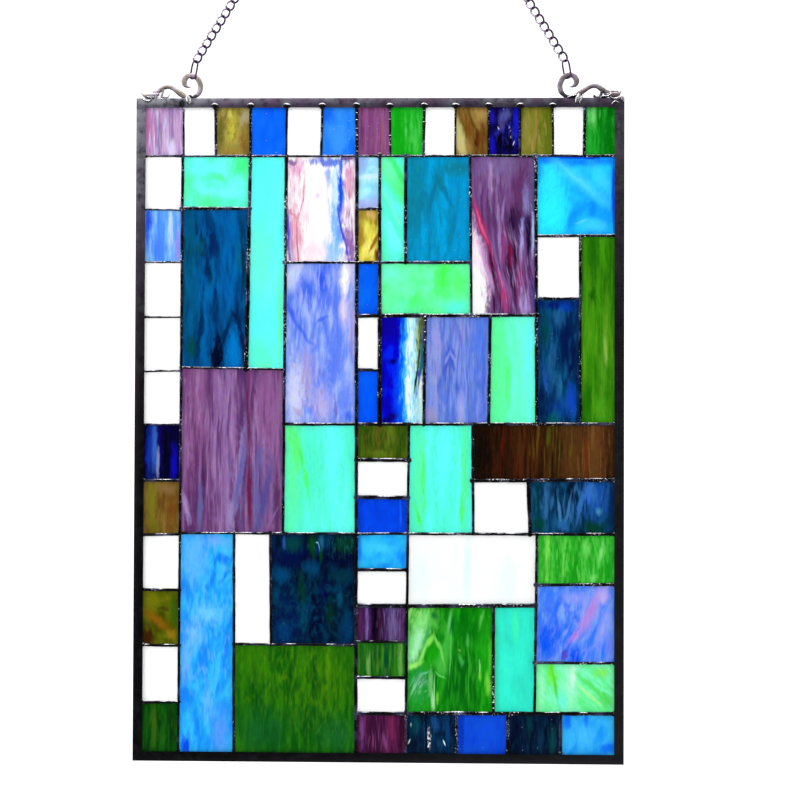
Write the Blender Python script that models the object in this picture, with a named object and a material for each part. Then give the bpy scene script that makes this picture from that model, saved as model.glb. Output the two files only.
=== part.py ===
"""Stained glass window panel hung by a chain, built the way the real one is.

Glass panes stand edge to edge in a lattice of solder beads, a U-shaped metal
came runs round the outside, and a cast scroll is soldered on each top corner.
A curb chain rises from each scroll to one plain ring.

Frame: metres, +Z up, +X to the right seen from the front, the front faces -Y.
The origin is where a nail would carry the ring: the top of its hole.
"""

import math

import bmesh
import bpy
from mathutils import Matrix, Vector

MM = 0.001

# Panel and came, in millimetres.
PANEL_W = 457.0
PANEL_H = 620.0
CAME_FACE = 9.0
CAME_DEPTH = 6.4
CAME_WALL = 1.0
CAME_FLOOR = 3.0

# Glass and solder.
GLASS_T = 3.0
WEB_W = 0.9
BEAD_BASE = 3.4
BEAD_CREST = 1.4
NOTCH_HALF = 0.5
NOTCH_DEEP = 0.7
LATTICE_T = 5.6
GAP = 0.3

# Chain, its long end links and the hanging ring.
WIRE_IN = 0.66
WIRE_OUT = 0.42
WIRE_SIDE = 0.66
LINK_PITCH = 8.3
LINK_HALF_W = 3.35
LINK_END_W = 1.5
LINK_COUNT = 37
LINK_BITE = 0.12
LONG_CENTRES = 17.0
LONG_HALF_W = 3.1
LONG_END_W = 1.7
LONG_SHOULDER = 1.9
LONG_LEAN = math.radians(80.0)
TWIST = math.radians(45.0)
RING_HOLE = 15.0
RING_WIRE = 2.2

# Scroll hook: where the long link sits in its curl, from the panel's corner.
SEAT_X = 52.3
SEAT_UP = 18.9
HOOK_SHIFT = -0.7

# The panel's own edges, where the glass goes into the came.
CAME_SIDES = ("side_l", "side_r", "head", "foot")

# Upright seams: (across at top, down at top, across at bottom, down at bottom),
# measured from the panel's top left corner.
UPRIGHTS = {
    "side_l": (0.0, 0.0, 0.0, PANEL_H),
    "side_r": (PANEL_W, 0.0, PANEL_W, PANEL_H),
    "t1": (44.4, 9.0, 44.6, 54.0),
    "t2": (74.2, 9.0, 75.0, 54.0),
    "t3": (107.5, 9.0, 107.5, 54.0),
    "t4": (141.5, 9.0, 141.1, 54.0),
    "t5": (174.8, 9.0, 173.8, 54.0),
    "t6": (207.1, 9.0, 207.4, 54.0),
    "t7": (238.1, 9.0, 238.7, 54.0),
    "t8": (270.5, 9.0, 269.6, 54.0),
    "t9": (299.6, 9.0, 299.3, 54.0),
    "t10": (330.5, 9.0, 330.2, 54.0),
    "t11": (359.8, 9.0, 359.6, 54.0),
    "t12": (390.2, 9.0, 390.6, 54.0),
    "t13": (420.2, 9.0, 419.8, 54.0),
    "col": (43.8, 54.0, 42.6, 610.0),
    "a": (107.4, 54.0, 104.4, 254.0),
    "b": (141.2, 54.0, 139.6, 407.0),
    "c": (207.4, 54.0, 208.4, 610.0),
    "d": (228.7, 54.0, 229.6, 305.0),
    "e": (253.2, 54.0, 253.2, 154.0),
    "f": (313.2, 54.0, 314.9, 204.0),
    "g": (374.5, 54.0, 376.0, 305.0),
    "h": (416.1, 129.0, 416.5, 305.0),
    "i": (271.9, 204.0, 270.8, 305.0),
    "j": (332.4, 204.0, 331.2, 304.0),
    "k": (256.9, 305.0, 254.9, 610.0),
    "m": (316.2, 305.0, 317.3, 407.0),
    "n": (368.2, 357.0, 370.0, 407.0),
    "o": (376.3, 407.0, 374.5, 573.0),
    "p": (336.2, 474.0, 336.2, 574.0),
    "q": (302.0, 574.0, 302.0, 610.0),
    "r": (349.6, 574.0, 349.6, 610.0),
    "s": (398.5, 574.0, 398.5, 610.0),
    "v": (93.8, 407.0, 94.5, 610.0),
    "w": (127.8, 407.0, 129.0, 511.0),
}

# Level seams: (across at left, down at left, across at right, down at right).
LEVELS = {
    "head": (0.0, 0.0, PANEL_W, 0.0),
    "foot": (0.0, PANEL_H, PANEL_W, PANEL_H),
    "row": (9.0, 54.4, 448.0, 54.2),
    "l1": (9.0, 104.4, 43.0, 105.2),
    "l2": (9.0, 154.0, 43.0, 154.0),
    "l3": (9.0, 205.6, 43.0, 205.4),
    "l4": (9.0, 256.4, 43.0, 255.8),
    "l5": (9.0, 306.3, 43.0, 306.1),
    "l6": (9.0, 358.5, 43.0, 358.5),
    "l7": (9.0, 409.5, 43.0, 409.0),
    "l8": (9.0, 460.6, 43.0, 460.9),
    "l9": (9.0, 512.2, 43.0, 512.6),
    "l10": (9.0, 566.0, 43.0, 565.0),
    "a1": (43.0, 103.4, 107.0, 103.6),
    "a2": (43.0, 252.9, 140.0, 254.1),
    "m1": (140.0, 154.1, 313.0, 154.1),
    "m2": (229.0, 203.9, 376.0, 203.3),
    "m3": (140.0, 305.6, 448.0, 304.4),
    "m4": (43.0, 407.7, 448.0, 407.0),
    "m5": (255.0, 474.6, 375.0, 473.4),
    "m6": (255.0, 574.0, 448.0, 573.2),
    "c1": (208.0, 104.0, 229.0, 104.0),
    "c2": (208.0, 204.3, 229.0, 204.1),
    "c3": (208.0, 254.7, 229.0, 254.7),
    "c4": (208.0, 338.7, 257.0, 338.7),
    "c5": (208.0, 373.4, 256.0, 373.8),
    "c6": (208.0, 441.0, 255.0, 441.0),
    "c7": (208.0, 474.4, 255.0, 474.6),
    "c8": (208.0, 507.8, 255.0, 507.8),
    "c9": (208.0, 541.2, 255.0, 541.2),
    "c10": (208.0, 574.6, 255.0, 574.4),
    "r1": (375.0, 129.2, 448.0, 128.7),
    "r2": (375.0, 187.5, 416.0, 187.5),
    "r3": (316.0, 357.6, 448.0, 356.4),
    "r4": (375.0, 454.2, 448.0, 453.4),
    "r5": (374.0, 526.4, 448.0, 526.4),
    "v1": (94.0, 511.0, 208.0, 511.0),
}

# Panes of the main field: name, left, right, top and bottom seam, glass colour.
PANES = [
    ("pane_aqua_upper", "col", "a", "row", "a1", (0.13, 0.90, 0.62)),
    ("pane_teal_flame", "col", "a", "a1", "a2", (0.0, 0.09, 0.30)),
    ("pane_cyan_tall", "a", "b", "row", "a2", (0.12, 0.95, 0.95)),
    ("pane_pink_wisp", "b", "c", "row", "m1", (0.90, 0.74, 0.90)),
    ("pane_periwinkle", "b", "c", "m1", "m3", (0.30, 0.42, 0.95)),
    ("pane_plum_big", "col", "b", "a2", "m4", (0.27, 0.09, 0.28)),
    ("pane_turquoise_low", "b", "c", "m3", "m4", (0.10, 0.95, 0.75)),
    ("pane_pale_blue", "c", "d", "row", "c1", (0.45, 0.75, 0.95)),
    ("pane_amber", "c", "d", "c1", "m1", (0.62, 0.50, 0.05)),
    ("pane_mint_sweep", "d", "e", "row", "m1", (0.14, 0.95, 0.60)),
    ("pane_lagoon", "e", "f", "row", "m1", (0.0, 0.28, 0.62)),
    ("pane_violet_wisp", "f", "g", "row", "m2", (0.16, 0.07, 0.24)),
    ("pane_sky_wide", "g", "side_r", "row", "r1", (0.05, 0.50, 0.98)),
    ("pane_blue_small_1", "c", "d", "m1", "c2", (0.0, 0.13, 0.95)),
    ("pane_mint_wide", "d", "f", "m1", "m2", (0.12, 0.95, 0.35)),
    ("pane_white_small_1", "c", "d", "c2", "c3", (0.95, 0.95, 0.95)),
    ("pane_blue_small_2", "c", "d", "c3", "m3", (0.0, 0.10, 0.95)),
    ("pane_navy_wisp", "d", "i", "m2", "m3", (0.01, 0.08, 0.80)),
    ("pane_violet_blue", "i", "j", "m2", "m3", (0.15, 0.23, 0.75)),
    ("pane_aqua_mid", "j", "g", "m2", "m3", (0.12, 0.95, 0.60)),
    ("pane_white_upper", "g", "h", "r1", "r2", (0.95, 0.95, 0.95)),
    ("pane_green_tall", "h", "side_r", "r1", "m3", (0.05, 0.28, 0.0)),
    ("pane_teal_upper", "g", "h", "r2", "m3", (0.0, 0.05, 0.17)),
    ("pane_olive", "c", "k", "m3", "c4", (0.08, 0.17, 0.0)),
    ("pane_white_mid_1", "c", "k", "c4", "c5", (0.95, 0.95, 0.95)),
    ("pane_blue_mid", "c", "k", "c5", "m4", (0.0, 0.07, 0.86)),
    ("pane_turquoise_tall", "k", "m", "m3", "m4", (0.12, 0.95, 0.80)),
    ("pane_brown", "m", "side_r", "m3", "r3", (0.06, 0.03, 0.01)),
    ("pane_white_square", "m", "n", "r3", "m4", (0.95, 0.95, 0.95)),
    ("pane_teal_right", "n", "side_r", "r3", "m4", (0.0, 0.06, 0.18)),
    ("pane_sky_small", "c", "k", "m4", "c6", (0.02, 0.45, 0.98)),
    ("pane_white_mid_2", "c", "k", "c6", "c7", (0.95, 0.95, 0.95)),
    ("pane_plum_dark", "c", "k", "c7", "c8", (0.06, 0.02, 0.10)),
    ("pane_green_small", "c", "k", "c8", "c9", (0.06, 0.22, 0.02)),
    ("pane_white_mid_3", "c", "k", "c9", "c10", (0.95, 0.95, 0.95)),
    ("pane_plum_low", "c", "k", "c10", "foot", (0.12, 0.02, 0.11)),
    ("pane_blue_big", "col", "v", "m4", "foot", (0.05, 0.38, 0.98)),
    ("pane_white_tall", "v", "w", "m4", "v1", (0.95, 0.95, 0.95)),
    ("pane_navy", "w", "c", "m4", "v1", (0.0, 0.02, 0.10)),
    ("pane_green_big", "v", "c", "v1", "foot", (0.04, 0.18, 0.01)),
    ("pane_opal", "k", "o", "m4", "m5", (0.94, 0.96, 0.96)),
    ("pane_green_wisp", "k", "p", "m5", "m6", (0.04, 0.34, 0.03)),
    ("pane_jade_tall", "p", "o", "m5", "m6", (0.03, 0.85, 0.62)),
    ("pane_green_right", "o", "side_r", "m4", "r4", (0.06, 0.48, 0.04)),
    ("pane_blue_streak", "o", "side_r", "r4", "r5", (0.12, 0.25, 0.96)),
    ("pane_mint_right", "o", "side_r", "r5", "m6", (0.22, 0.95, 0.42)),
    ("pane_teal_low_1", "k", "q", "m6", "foot", (0.0, 0.03, 0.07)),
    ("pane_blue_low", "q", "r", "m6", "foot", (0.0, 0.07, 0.75)),
    ("pane_teal_low_2", "r", "s", "m6", "foot", (0.0, 0.02, 0.05)),
    ("pane_sky_low", "s", "side_r", "m6", "foot", (0.04, 0.38, 0.98)),
]

# The small tiles of the top row and of the left column, in order.
TOP_ROW = ["side_l"] + ["t%d" % n for n in range(1, 14)] + ["side_r"]
LEFT_COLUMN = ["row"] + ["l%d" % n for n in range(1, 11)] + ["foot"]
TOP_STRIP = ("side_l", "side_r", "head", "row")
LEFT_STRIP = ("side_l", "col", "row", "foot")
TOP_TILES_RGB = (0.35, 0.45, 0.55)
LEFT_TILES_RGB = (0.45, 0.55, 0.65)

# Scroll hook straps: (across from corner, up from panel top, width, depth).
SCROLL = [
    (18.5, 5.6, 3.0, 3.4),
    (23.5, 9.0, 2.4, 3.2),
    (29.0, 11.2, 2.5, 3.2),
    (34.2, 9.9, 2.8, 3.2),
    (38.6, 7.0, 3.4, 3.4),
    (43.4, 3.9, 3.0, 3.6),
    (48.0, 1.8, 2.4, 3.6),
    (52.8, 2.0, 2.3, 3.4),
    (57.1, 3.9, 3.0, 3.2),
    (59.9, 7.6, 3.7, 3.0),
    (60.4, 12.4, 4.0, 2.8),
    (58.8, 17.3, 4.0, 2.6),
    (55.6, 20.7, 4.0, 2.2),
    (51.4, 22.0, 4.0, 2.2),
    (47.2, 20.2, 4.2, 2.6),
    (45.0, 16.4, 4.2, 2.8),
    (46.0, 12.6, 2.8, 2.6),
    (50.4, 10.8, 1.3, 1.6),
]
LEAF_TIP = [
    (20.0, 5.0, 3.4, 3.4),
    (14.5, 4.2, 5.0, 4.2),
    (9.0, 3.2, 4.0, 3.8),
    (5.8, 4.4, 2.4, 2.6),
    (3.7, 6.4, 0.7, 1.0),
]
LEAF_CURL = [
    (21.0, 6.4, 2.8, 3.6),
    (17.4, 7.2, 2.2, 3.2),
    (14.2, 6.4, 0.9, 1.6),
]
TENDRIL = [
    (20.5, 3.4, 2.2, 2.4),
    (24.2, 1.4, 1.7, 2.2),
    (28.2, 1.7, 1.6, 2.0),
    (30.0, 4.2, 1.4, 1.8),
]

# Lumps lying over the came's top and front edge, along the panel's top:
# (across, top, hang down, front of came, back of came's front).
LEAF_SADDLE = [
    (5.2, 1.4, 0.3, 1.0, 1.6),
    (8.0, 3.4, 1.5, 1.7, 3.2),
    (11.0, 3.8, 2.0, 1.9, 4.2),
    (14.5, 3.4, 1.1, 1.7, 4.4),
    (18.5, 4.8, 0.5, 1.3, 4.4),
    (23.0, 1.6, 0.2, 0.9, 2.6),
]
FOOT_SADDLE = [
    (45.4, 1.2, 1.0, 1.0, 3.2),
    (46.6, 2.7, 3.4, 1.8, 4.8),
    (50.2, 2.8, 3.8, 1.9, 4.8),
    (52.0, 1.3, 1.2, 1.0, 3.2),
]

# Plain metal colours.
CAME_RGB = (0.030, 0.028, 0.032)
SOLDER_RGB = (0.020, 0.020, 0.024)
HOOK_RGB = (0.30, 0.26, 0.24)
CHAIN_RGB = (0.12, 0.08, 0.12)
RING_RGB = (0.14, 0.11, 0.13)


def clear_scene():
    """Empty the file of objects, meshes and materials."""
    for obj in list(bpy.data.objects):
        bpy.data.objects.remove(obj, do_unlink=True)
    for mesh in list(bpy.data.meshes):
        bpy.data.meshes.remove(mesh)
    for mat in list(bpy.data.materials):
        bpy.data.materials.remove(mat)


def material(name, rgb, rough, metal, see_through=0.0):
    """One plain Principled material."""
    mat = bpy.data.materials.new(name)
    mat.use_nodes = True
    shader = mat.node_tree.nodes["Principled BSDF"]
    shader.inputs["Base Color"].default_value = (rgb[0], rgb[1], rgb[2], 1.0)
    shader.inputs["Roughness"].default_value = rough
    shader.inputs["Metallic"].default_value = metal
    shader.inputs["Transmission Weight"].default_value = see_through
    mat.diffuse_color = (rgb[0], rgb[1], rgb[2], 1.0)
    return mat


def solid(name, verts, faces, mat=None):
    """A mesh object from points and faces, normals turned outward."""
    mesh = bpy.data.meshes.new(name)
    mesh.from_pydata([tuple(v) for v in verts], [], faces)
    bm = bmesh.new()
    bm.from_mesh(mesh)
    bmesh.ops.recalc_face_normals(bm, faces=bm.faces)
    if bm.calc_volume(signed=True) < 0.0:
        bmesh.ops.reverse_faces(bm, faces=bm.faces)
    bm.to_mesh(mesh)
    bm.free()
    obj = bpy.data.objects.new(name, mesh)
    bpy.context.scene.collection.objects.link(obj)
    if mat is not None:
        mesh.materials.append(mat)
    return obj


def ring_faces(rings, sides, closed):
    """Quads between successive rings of points, capped when not closed."""
    faces = []
    last = rings if closed else rings - 1
    for i in range(last):
        j = (i + 1) % rings
        for k in range(sides):
            n = (k + 1) % sides
            faces.append((i * sides + k, i * sides + n, j * sides + n, j * sides + k))
    if not closed:
        faces.append(tuple(range(sides - 1, -1, -1)))
        faces.append(tuple((rings - 1) * sides + k for k in range(sides)))
    return faces


def boolean(target, other, operation, keep_self=False):
    """Apply an exact Boolean and remove the other solid."""
    other.hide_render = True
    other.display_type = "WIRE"
    mod = target.modifiers.new("bool", "BOOLEAN")
    mod.operation = operation
    mod.solver = "EXACT"
    mod.use_self = keep_self
    mod.object = other
    depsgraph = bpy.context.evaluated_depsgraph_get()
    mesh = bpy.data.meshes.new_from_object(target.evaluated_get(depsgraph))
    old = target.data
    target.modifiers.clear()
    target.data = mesh
    bpy.data.meshes.remove(old)
    bpy.data.objects.remove(other, do_unlink=True)


def joined(objects, name):
    """One object holding the meshes of several."""
    bm = bmesh.new()
    for obj in objects:
        bm.from_mesh(obj.data)
    mesh = bpy.data.meshes.new(name)
    bm.to_mesh(mesh)
    bm.free()
    for obj in objects:
        bpy.data.objects.remove(obj, do_unlink=True)
    out = bpy.data.objects.new(name, mesh)
    bpy.context.scene.collection.objects.link(out)
    return out


def union_all(objects, name, mat):
    """Fuse solids one after another into one named body."""
    body = objects[0]
    for other in objects[1:]:
        boolean(body, other, "UNION")
    body.name = name
    body.data.name = name
    body.data.materials.clear()
    body.data.materials.append(mat)
    for poly in body.data.polygons:
        poly.material_index = 0
    return body


# --- where the panel hangs -------------------------------------------------

def link_centres():
    """Distance between the end-wire centres of a curb link."""
    return LINK_PITCH + 2.0 * WIRE_IN - LINK_BITE


def ring_seat():
    """From a long link's far end wire to the centre of the ring, on its line."""
    return RING_HOLE / 2.0 + RING_WIRE / 2.0 - (RING_WIRE / 2.0 + WIRE_IN + GAP)


def chain_layout():
    """End of the long link, chain direction and the drop to the panel's top."""
    step = 2.0 * WIRE_IN - LINK_BITE
    end_x = SEAT_X - PANEL_W / 2.0 + LONG_CENTRES * math.cos(LONG_LEAN)
    end_up = SEAT_UP + LONG_CENTRES * math.sin(LONG_LEAN)
    run = LINK_COUNT * LINK_PITCH - step + LONG_CENTRES + ring_seat()
    angle = math.acos(-end_x / run)
    drop = end_up + run * math.sin(angle) + RING_HOLE / 2.0
    return Vector((end_x, 0.0, end_up)), angle, drop


CHAIN_END, CHAIN_ANGLE, DROP = chain_layout()


def place(across, y, down):
    """Panel millimetres from the top left corner to metres in the shared frame."""
    return Vector(((across - PANEL_W / 2.0) * MM, y * MM, (-DROP - down) * MM))


# --- panes and lattice -----------------------------------------------------

def seam_line(key):
    """Two points of a seam's centre line, (across, down)."""
    seam = UPRIGHTS.get(key) or LEVELS.get(key)
    return Vector((seam[0], seam[1])), Vector((seam[2], seam[3]))


def shifted(key, inside, amount):
    """A seam's line moved toward an inside point by an amount."""
    p, q = seam_line(key)
    along = (q - p).normalized()
    normal = Vector((-along.y, along.x))
    if normal.dot(inside - p) < 0.0:
        normal = -normal
    return p + normal * amount, q + normal * amount


def crossing(one, two):
    """Where two lines meet."""
    p, q = one
    r, s = two
    d = q - p
    e = s - r
    t = ((r.x - p.x) * e.y - (r.y - p.y) * e.x) / (d.x * e.y - d.y * e.x)
    return p + d * t


def inset_lines(seams, seam_in, came_in):
    """A pane's left, right, top and bottom lines, moved in from their seams."""
    left, right, top, bottom = seams
    middle_x = (seam_line(left)[0].x + seam_line(right)[0].x) / 2.0
    middle_y = (seam_line(top)[0].y + seam_line(bottom)[0].y) / 2.0
    inside = Vector((middle_x, middle_y))
    lines = []
    for key in seams:
        lines.append(shifted(key, inside, came_in if key in CAME_SIDES else seam_in))
    return lines


def pane_quad(seams, seam_in, came_in):
    """The four corners of a pane, clockwise from the top left."""
    left, right, top, bottom = inset_lines(seams, seam_in, came_in)
    corners = ((left, top), (right, top), (right, bottom), (left, bottom))
    return [crossing(one, two) for one, two in corners]


def stacked(name, loops, mat=None):
    """A solid from four-cornered loops at rising depths: [(y, corners), ...]."""
    verts = []
    for y, corners in loops:
        verts.extend(place(c.x, y, c.y) for c in corners)
    return solid(name, verts, ring_faces(len(loops), 4, False), mat)


def build_pane(name, seams, rgb):
    """One sheet of glass, its edges under the beads and the came."""
    quad = pane_quad(seams, WEB_W / 2.0 + GAP, CAME_FLOOR + GAP)
    half = GLASS_T / 2.0
    mat = material(name, rgb, 0.15, 0.0, 0.5)
    return stacked(name, [(-half, quad), (half, quad)], mat)


def build_window(name, seams, grooved):
    """Cutter for one pane: the opening between beads and the slot for the glass."""
    face = LATTICE_T / 2.0 + 0.2
    slot = GLASS_T / 2.0 + GAP
    past = CAME_FACE - 2.0
    crest = pane_quad(seams, BEAD_CREST / 2.0 - 0.1, past)
    base = pane_quad(seams, BEAD_BASE / 2.0, past)
    loops = [(-face, crest), (-slot, base)]
    if grooved:
        deep = pane_quad(seams, WEB_W / 2.0, past)
        loops.extend([(-slot, deep), (slot, deep)])
    loops.extend([(slot, base), (face, crest)])
    return stacked(name, loops)


def tile_seams():
    """The four seams of every small tile."""
    tiles = []
    for left, right in zip(TOP_ROW, TOP_ROW[1:]):
        tiles.append((left, right, "head", "row"))
    for top, bottom in zip(LEFT_COLUMN, LEFT_COLUMN[1:]):
        tiles.append(("side_l", "col", top, bottom))
    return tiles


def build_lattice():
    """The soldered seams: one slab of beads with the panes cut out of it."""
    edge = CAME_FACE + GAP
    half = LATTICE_T / 2.0
    corners = [
        Vector((edge, edge)),
        Vector((PANEL_W - edge, edge)),
        Vector((PANEL_W - edge, PANEL_H - edge)),
        Vector((edge, PANEL_H - edge)),
    ]
    mat = material("solder_lattice", SOLDER_RGB, 0.35, 0.9)
    slab = stacked("solder_lattice", [(-half, corners), (half, corners)], mat)
    cuts = []
    for pane in PANES:
        cuts.append(build_window("cut", pane[1:5], True))
    for seams in tile_seams():
        cuts.append(build_window("cut", seams, False))
    boolean(slab, joined(cuts, "cut_windows"), "DIFFERENCE")
    slot = GLASS_T / 2.0 + GAP
    slots = []
    for seams in (TOP_STRIP, LEFT_STRIP):
        quad = pane_quad(seams, WEB_W / 2.0, CAME_FACE - 2.0)
        slots.append(stacked("cut", [(-slot, quad), (slot, quad)]))
    boolean(slab, joined(slots, "cut_slots"), "DIFFERENCE")
    return slab


def build_strip(name, seams, dividers, rgb):
    """A run of small tiles fused edge to edge, notched where one meets the next."""
    left, right, top, bottom = inset_lines(seams, WEB_W / 2.0 + GAP, CAME_FLOOR + GAP)
    if dividers[0] in UPRIGHTS:
        start, end, rails, nudge = left, right, (top, bottom), Vector((NOTCH_HALF, 0.0))
    else:
        start, end, rails, nudge = top, bottom, (left, right), Vector((0.0, NOTCH_HALF))
    half = GLASS_T / 2.0
    cuts = [(start, half)]
    for key in dividers:
        p, q = seam_line(key)
        cuts.append(((p - nudge, q - nudge), half))
        cuts.append(((p, q), half - NOTCH_DEEP))
        cuts.append(((p + nudge, q + nudge), half))
    cuts.append((end, half))
    verts = []
    for rail in rails:
        corners = [(crossing(line, rail), depth) for line, depth in cuts]
        verts.extend(place(c.x, -depth, c.y) for c, depth in corners)
        verts.extend(place(c.x, depth, c.y) for c, depth in reversed(corners))
    faces = ring_faces(2, 2 * len(cuts), False)
    return solid(name, verts, faces, material(name, rgb, 0.15, 0.0, 0.5))


def build_frame():
    """U-channel came on all four sides, mitred and soldered at the corners."""
    half = CAME_DEPTH / 2.0
    inner = half - CAME_WALL
    profile = [
        (0.0, -half),
        (CAME_FACE, -half),
        (CAME_FACE, -inner),
        (CAME_FLOOR, -inner),
        (CAME_FLOOR, inner),
        (CAME_FACE, inner),
        (CAME_FACE, half),
        (0.0, half),
    ]
    verts = []
    for cx, cz in ((0, 0), (1, 0), (1, 1), (0, 1)):
        for inset, y in profile:
            across = inset if cx == 0 else PANEL_W - inset
            down = inset if cz == 0 else PANEL_H - inset
            verts.append(place(across, y, down))
    mat = material("frame_came", CAME_RGB, 0.45, 0.8)
    return solid("frame_came", verts, ring_faces(4, len(profile), True), mat)


# --- scroll hooks ----------------------------------------------------------

def hook_point(across, y, up, mirror):
    """A hook point, measured from its own corner of the panel."""
    x = across + HOOK_SHIFT
    if mirror:
        x = PANEL_W - x
    return place(x, y, -up)


def strap(points, mirror):
    """A cast strap with a ridge, along points (across, up, width, depth)."""
    verts = []
    count = len(points)
    section = ((-1.0, -0.5), (0.0, -1.0), (1.0, -0.5), (1.0, 0.5), (0.0, 1.0), (-1.0, 0.5))
    for i, (across, up, width, depth) in enumerate(points):
        before = points[max(i - 1, 0)]
        after = points[min(i + 1, count - 1)]
        along = Vector((after[0] - before[0], after[1] - before[1])).normalized()
        side = Vector((-along.y, along.x)) * (width / 2.0)
        for s, t in section:
            y = t * depth / 2.0
            verts.append(hook_point(across + side.x * s, y, up + side.y * s, mirror))
    return solid("strap", verts, ring_faces(count, len(section), False))


def saddle(stations, mirror):
    """A lump hooked over the came: on its top edge and down its front."""
    face = -(CAME_DEPTH / 2.0 + GAP)
    verts = []
    for across, top, hang, front, back in stations:
        section = (
            (face - front, top * 0.5),
            (face - front * 0.4, top),
            (face + back, top * 0.9),
            (face + back, GAP),
            (face, GAP),
            (face, -hang),
            (face - front, -hang * 0.7),
        )
        verts.extend(hook_point(across, y, up, mirror) for y, up in section)
    return solid("saddle", verts, ring_faces(len(stations), 7, False))


def build_hook(name, mirror):
    """Scroll, leaves and tendril cast together, with the solder foot."""
    parts = [
        strap(SCROLL, mirror),
        strap(LEAF_TIP, mirror),
        strap(LEAF_CURL, mirror),
        saddle(LEAF_SADDLE, mirror),
        strap(TENDRIL, mirror),
        saddle(FOOT_SADDLE, mirror),
    ]
    return union_all(parts, name, material(name, HOOK_RGB, 0.4, 0.85))


# --- chain and ring --------------------------------------------------------

def link_mesh(start, direction, outline, centres, twist_low, twist_high):
    """One closed link: outline points (along, half width side), three-sided wire."""
    up = Vector((math.cos(direction), 0.0, math.sin(direction)))
    side = Vector((math.sin(direction), 0.0, -math.cos(direction)))
    front = Vector((0.0, -1.0, 0.0))
    path = []
    planes = []
    for u, v in outline:
        turn = twist_low + (twist_high - twist_low) * u / centres
        lateral = side * math.cos(turn) + front * math.sin(turn)
        path.append(start + up * u + lateral * v)
        planes.append(up.cross(lateral))
    middle = start + up * (centres / 2.0)
    verts = []
    count = len(path)
    for i, point in enumerate(path):
        coming = (point - path[i - 1]).normalized()
        tangent = (coming + (path[(i + 1) % count] - point).normalized()).normalized()
        flat = (planes[i] - tangent * planes[i].dot(tangent)).normalized()
        outward = tangent.cross(flat).normalized() / tangent.dot(coming)
        if outward.dot(point - middle) < 0.0:
            outward = -outward
        verts.append(point - outward * WIRE_IN)
        verts.append(point + outward * WIRE_OUT + flat * WIRE_SIDE)
        verts.append(point + outward * WIRE_OUT - flat * WIRE_SIDE)
    shared = [Vector((v.x * MM, v.y * MM, (v.z - DROP) * MM)) for v in verts]
    return solid("link", shared, ring_faces(count, 3, True))


def curb_link(start):
    """A small link twisted a quarter turn from its lower to its upper end."""
    long = link_centres()
    end = LINK_END_W
    wide = LINK_HALF_W
    outline = [(0.0, -end), (0.0, end), (long / 2.0, wide)]
    outline.extend([(long, end), (long, -end), (long / 2.0, -wide)])
    return link_mesh(start, CHAIN_ANGLE, outline, long, -TWIST, TWIST)


def long_link(start, direction, turn):
    """A straight-sided end link, flat, turned about its length."""
    long = LONG_CENTRES
    end = LONG_END_W
    wide = LONG_HALF_W
    low = LONG_SHOULDER
    high = long - LONG_SHOULDER
    outline = [(0.0, -end), (0.0, end), (low, wide), (high, wide)]
    outline.extend([(long, end), (long, -end), (high, -wide), (low, -wide)])
    return link_mesh(start, direction, outline, long, turn, turn)


def build_chain(name, turned):
    """One side of the chain, its links meeting where they really touch."""
    along = Vector((math.cos(CHAIN_ANGLE), 0.0, math.sin(CHAIN_ANGLE)))
    step = 2.0 * WIRE_IN - LINK_BITE
    seat = Vector((SEAT_X - PANEL_W / 2.0, 0.0, SEAT_UP))
    links = [long_link(seat, LONG_LEAN, TWIST)]
    for n in range(LINK_COUNT):
        links.append(curb_link(CHAIN_END + along * (n * LINK_PITCH - step)))
    top = CHAIN_END + along * (LINK_COUNT * LINK_PITCH - step)
    links.append(long_link(top, CHAIN_ANGLE, -TWIST))
    body = joined(links[0::2], name)
    boolean(body, joined(links[1::2], "cut_links"), "UNION")
    body.name = name
    body.data.name = name
    body.data.materials.clear()
    body.data.materials.append(material(name, CHAIN_RGB, 0.4, 0.9))
    if turned:
        body.data.transform(Matrix.Rotation(math.pi, 4, "Z"))
    return body


def build_ring():
    """The plain ring both chains hang on."""
    around = 14
    sides = 6
    middle = (RING_HOLE + RING_WIRE) / 2.0
    verts = []
    for i in range(around):
        turn = 2.0 * math.pi * (i + 0.5) / around
        for k in range(sides):
            roll = 2.0 * math.pi * k / sides
            reach = middle + RING_WIRE / 2.0 * math.cos(roll)
            x = reach * math.cos(turn)
            z = reach * math.sin(turn) - RING_HOLE / 2.0
            y = RING_WIRE / 2.0 * math.sin(roll)
            verts.append(Vector((x * MM, y * MM, z * MM)))
    mat = material("hanging_ring", RING_RGB, 0.35, 0.9)
    return solid("hanging_ring", verts, ring_faces(around, sides, True), mat)


def main():
    clear_scene()
    for pane in PANES:
        build_pane(pane[0], pane[1:5], pane[5])
    build_strip("top_row_tiles", TOP_STRIP, TOP_ROW[1:-1], TOP_TILES_RGB)
    build_strip("left_column_tiles", LEFT_STRIP, LEFT_COLUMN[1:-1], LEFT_TILES_RGB)
    build_lattice()
    build_frame()
    build_hook("hook_left", False)
    build_hook("hook_right", True)
    build_chain("chain_left", False)
    build_chain("chain_right", True)
    build_ring()


main()
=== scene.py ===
"""The looks of a stained glass window panel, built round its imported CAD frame.

Every sheet of glass becomes a gently rippled plate with its own streaks and
wisps. The seams become rounded solder beads, the came gets soft edges, and the
cast hooks, the chain and the ring get round sections.

Places on the panel are millimetres across and down from its top left corner.
"""

import math

import bmesh
import bpy
from mathutils import Matrix, Vector, noise


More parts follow.
